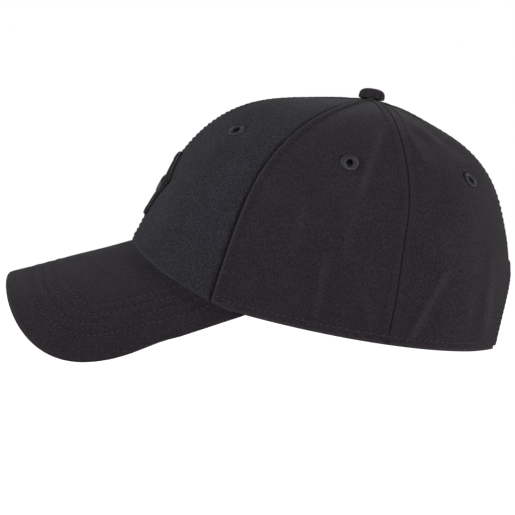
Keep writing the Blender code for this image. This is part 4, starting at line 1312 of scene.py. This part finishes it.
def add_strap():
    """The size strap: two halves of doubled twill with hook and loop tape sewn between them."""
    low, high = STRAP_LOW_Z, STRAP_LOW_Z + STRAP_HEIGHT
    edge, row = 0.0015, 0.0019
    pile = {"slot": "hook_and_loop", "fuzz": 0.00004}
    twill = {"slot": "tape", "tongue": True}
    add_band("strap_left_cloth", *STRAP_LEFT, low, high, STRAP, SIDE, "cap", ["strap_left"], **twill)
    add_band("strap_loop_pile", *STRAP_LOOP, low + edge, high - edge, STRAP_TAPE, LOOP, "cap",
             ["strap_loop_patch"], **pile)
    add_band("strap_hook_pile", *STRAP_HOOK, low + edge, high - edge, STRAP_TAPE, HOOK, "size_strap",
             ["strap_hook_patch"], **pile)
    add_band("strap_right_cloth", *STRAP_RIGHT, low, high, STRAP, SIDE, "size_strap",
             ["strap_right"], **twill)
    outer = STRAP_RIGHT[0] + STRAP + 0.00012
    outside = band_rows(outer, (-33, 9.5), (low + row, high - row))
    levels = np.linspace(low + row, high - row, 12)
    outside += [strap_places(outer, np.full(12, angle), levels) for angle in (9.5, -7.5)]
    add_threads("stitches_strap_right", outside, DARK_THREAD, body="size_strap", pitch=0.0029, length=0.0022)
    inside = band_rows(STRAP_LEFT[0] + STRAP + 0.0001, (-9, 33), (low + 0.0010, high - 0.0010))
    add_threads("stitches_strap_left", inside, DARK_THREAD, pitch=0.0029, length=0.0022)


# ---- the insert ---------------------------------------------------------------------------------------


def slot_distance(u, v, edge):
    """Signed distance in metres to the nearest vent slot of the shell, and the way to it in u and v."""
    centre = np.round((u - SLOT_FIRST) / SLOT_SPACING) * SLOT_SPACING + SLOT_FIRST
    low, high = (edge + (LINING_TOP - edge) * part / 12 for part in SLOT_ENDS)
    wide = crown_frame(u, v)[2]
    across = (u - centre) * wide
    up = (v - (low + high) / 2) * length_at(u)
    radius = SLOT_HALF_ANGLE * wide * 0.98
    half = (high - low) / 2 * length_at(u) - radius
    rest = up - np.clip(up, -half, half)
    away = np.hypot(across, rest)
    safe = np.maximum(away, 1e-9)
    return away - radius, across / safe, rest / safe, wide


def add_shell():
    """The vented shell: smooth, with rounded slots, sunk bands between them and a beaded rim."""
    u = np.linspace(-180, 180, 481)[:-1]
    share = edged(1.0, 0.0105, 0.0075)
    share, u = np.meshgrid(share, u, indexing="ij")
    edge = shell_edge(u)
    v = edge + (LINING_TOP - edge) * share
    for _ in range(2):
        gap, way_u, way_v, wide = slot_distance(u, v, edge)
        close = np.abs(gap) < 0.00075
        u = u - np.where(close, gap * way_u / wide, 0)
        v = v - np.where(close, gap * way_v / length_at(u), 0)
    gap = slot_distance(u, v, edge)[0]
    keep = cell_mean(np.concatenate([gap, gap[:, :1]], axis=1)) > 0
    base, normal, _ = crown_frame(u, v)
    bead = 0.0004 * fall(share, 0.018, 0.034)
    groove = -0.00045 * ridge(gap - 0.0032, 0.0010)
    outer = base - normal * (SHELL_DEPTH + 0.00045 - bead - groove * 0.9)[..., None]
    thickness = SHELL - 0.00045 + bead * 1.8 + 0.6 * groove
    border = np.minimum(share, 1 - share) * (LINING_TOP - edge) * length_at(u)
    border = np.where(border < 1e-7, 0, border)
    add_slab("protective_shell_moulding", outer, normal, thickness, SHELL_PLASTIC, keep=keep, wrap=True,
             border=border, body="insert", nodes=["protective_shell"], slot="shell",
             spots=np.stack([u * 0.0013, v * 0.16], axis=-1))


PADS = ("crown_pad", "front_pad", "rear_pad", "side_pad_left", "side_pad_right")
PAD_VOXEL = 0.0016
PUFF_FRAMES = 20
PUFF_PRESSURE = 4.0
PUFF_LIMIT = 0.0012                 # how far a point of a pad may move


def bake(piece):
    """Apply all of a piece's modifiers."""
    seen = piece.evaluated_get(bpy.context.evaluated_depsgraph_get())
    made = bpy.data.meshes.new_from_object(seen)
    piece.modifiers.clear()
    piece.data = made


def puff(pad):
    """Let a pad swell under pressure, each point moving at most PUFF_LIMIT."""
    scene = bpy.context.scene
    rest = np.array([vert.co for vert in pad.data.vertices])
    cloth_modifier = pad.modifiers.new("cloth", "CLOTH")
    settings = cloth_modifier.settings
    settings.use_pressure = True
    settings.uniform_pressure_force = PUFF_PRESSURE
    settings.mass = 0.1
    settings.effector_weights.gravity = 0.0
    cloth_modifier.point_cache.frame_end = PUFF_FRAMES
    for number in range(1, PUFF_FRAMES + 1):
        scene.frame_set(number)
    bake(pad)
    way = np.array([vert.co for vert in pad.data.vertices]) - rest
    size = np.linalg.norm(way, axis=1, keepdims=True)
    way = way * np.minimum(1, PUFF_LIMIT / np.maximum(size, 1e-9))
    pad.data.vertices.foreach_set("co", (rest + way).ravel())
    pad.data.update()
    scene.frame_set(1)


def add_pads():
    """Foam pads inside the shell, puffed up by a cloth simulation."""
    for name in PADS:
        pad = bpy.data.objects.new(f"{name}_cushion", frame["nodes"][name].data.copy())
        bpy.context.scene.collection.objects.link(pad)
        remesh = pad.modifiers.new("even", "REMESH")
        remesh.mode = "VOXEL"
        remesh.voxel_size = PAD_VOXEL
        bake(pad)
        puff(pad)
        smooth = pad.modifiers.new("smooth", "SMOOTH")
        smooth.factor, smooth.iterations = 0.5, 4
        finer = pad.modifiers.new("finer", "SUBSURF")
        finer.levels = finer.render_levels = 1
        bake(pad)
        pad.data.materials.clear()
        pad.data.materials.append(FOAM)
        pad.data.shade_smooth()
        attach(pad, "insert")
        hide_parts(name)


def add_patches():
    """Hook and loop patches that hold the shell in the crown."""
    kinds = (("loop", LOOP_DEPTH, LOOP, "cap"), ("hook", HOOK_DEPTH, HOOK, "insert"))
    for place, angle, low in (("front", 32, 0.36), ("rear", 150, 0.47)):
        for side, sign in SIDES:
            angles = (sign * angle - 8, sign * angle + 8)
            for kind, depth, finish, body in kinds:
                name = f"{kind}_patch_{place}_{side}"
                crown_slab(f"{name}_pile", angles, low, low + 0.10, depth, PATCH, finish, step=0.0012,
                           body=body, nodes=[name], slot="hook_and_loop")


def finish_cad_nodes():
    """Materials for the CAD pieces that stay as they are."""
    for name in ("button_post", "button_back"):
        node = frame["nodes"][name]
        node.data.materials.clear()
        node.data.materials.append(STEEL)


# ---- studio -------------------------------------------------------------------------------------------

CAMERA_LENS = 161.0
CAMERA_PLACE = (1.3, -0.00085, 0.0581)     # in the untilted frame
LAMP_TARGET = (0, 0, 0.07)
LAMPS = {                                   # place, diameter, power
    "front": ((0.5, -1.7, 0.80), 0.8, 28),
    "rear": ((1.0, 1.6, 0.02), 0.6, 33),
    "side": ((1.7, 0.2, 0.25), 0.6, 8),
    "far": ((-1.6, 0.2, 0.2), 0.9, 5),
}
FLOOR_Z = -0.125
FLOOR_REACH = 30.0
FLOOR_GLOW = 0.9
SURROUND_GLOW = 0.24                # how bright the surround is on the cap; the camera sees it white


def add_camera():
    """A level camera at the wearer's left, its height and distance as for a product picture."""
    camera = bpy.data.cameras.new("camera")
    camera.lens = CAMERA_LENS
    camera.sensor_width = 36.0
    camera.clip_end = 60
    eye = bpy.data.objects.new("camera", camera)
    bpy.context.scene.collection.objects.link(eye)
    facing = Matrix(((0, 0, 1), (1, 0, 0), (0, 1, 0))).to_4x4()
    eye.matrix_world = STANCE @ Matrix.Translation(CAMERA_PLACE) @ facing
    bpy.context.scene.camera = eye


def add_light(name, place, size, power):
    """A round soft lamp that faces the cap."""
    lamp = bpy.data.lights.new(name, "AREA")
    lamp.shape = "DISK"
    lamp.size = size
    lamp.energy = power
    holder = bpy.data.objects.new(name, lamp)
    bpy.context.scene.collection.objects.link(holder)
    holder.location = place
    holder.rotation_euler = (Vector(place) - Vector(LAMP_TARGET)).to_track_quat("Z", "Y").to_euler()
    holder.visible_camera = False


def add_studio():
    """A pale floor well below the cap, a white surround and soft lamps."""
    floor_mesh = bpy.data.meshes.new("floor")
    corners = [(x * FLOOR_REACH, y * FLOOR_REACH, 0) for x, y in ((-1, -1), (1, -1), (1, 1), (-1, 1))]
    floor_mesh.from_pydata(corners, [], [(0, 1, 2, 3)])
    floor = bpy.data.objects.new("floor", floor_mesh)
    floor.location.z = FLOOR_Z
    bpy.context.scene.collection.objects.link(floor)
    look = Look("floor")
    place = look.add("TexCoord", output="Object")
    tone = look.noise(place, 3.0, 2.0)
    look.wire(Base_Color=look.mix(tone, (0.90, 0.90, 0.90), (0.93, 0.93, 0.93)), Roughness=0.9,
              Emission_Color=(1.0, 1.0, 1.0, 1.0), Emission_Strength=FLOOR_GLOW)
    floor_mesh.materials.append(look.material)
    floor.visible_diffuse = False
    floor.visible_glossy = False

    surround = bpy.data.worlds.new("surround")
    surround.use_nodes = True
    tree = surround.node_tree
    background = tree.nodes["Background"]
    background.inputs["Color"].default_value = (1.0, 1.0, 1.0, 1)
    seen = tree.nodes.new("ShaderNodeLightPath").outputs["Is Camera Ray"]
    strength = tree.nodes.new("ShaderNodeMapRange")
    tree.links.new(seen, strength.inputs["Value"])
    strength.inputs["To Min"].default_value = SURROUND_GLOW
    strength.inputs["To Max"].default_value = 1.0
    tree.links.new(strength.outputs["Result"], background.inputs["Strength"])
    bpy.context.scene.world = surround

    for name, lamp in LAMPS.items():
        add_light(name, *lamp)
    bpy.context.scene.view_settings.view_transform = "Standard"
    bpy.context.scene.view_settings.look = "None"


add_panels()
add_seams()
add_lining()
add_peak()
add_eyelets()
add_button()
add_emblem()
add_binding()
add_strap()
add_shell()
add_patches()
add_pads()
finish_cad_nodes()
add_camera()
add_studio()
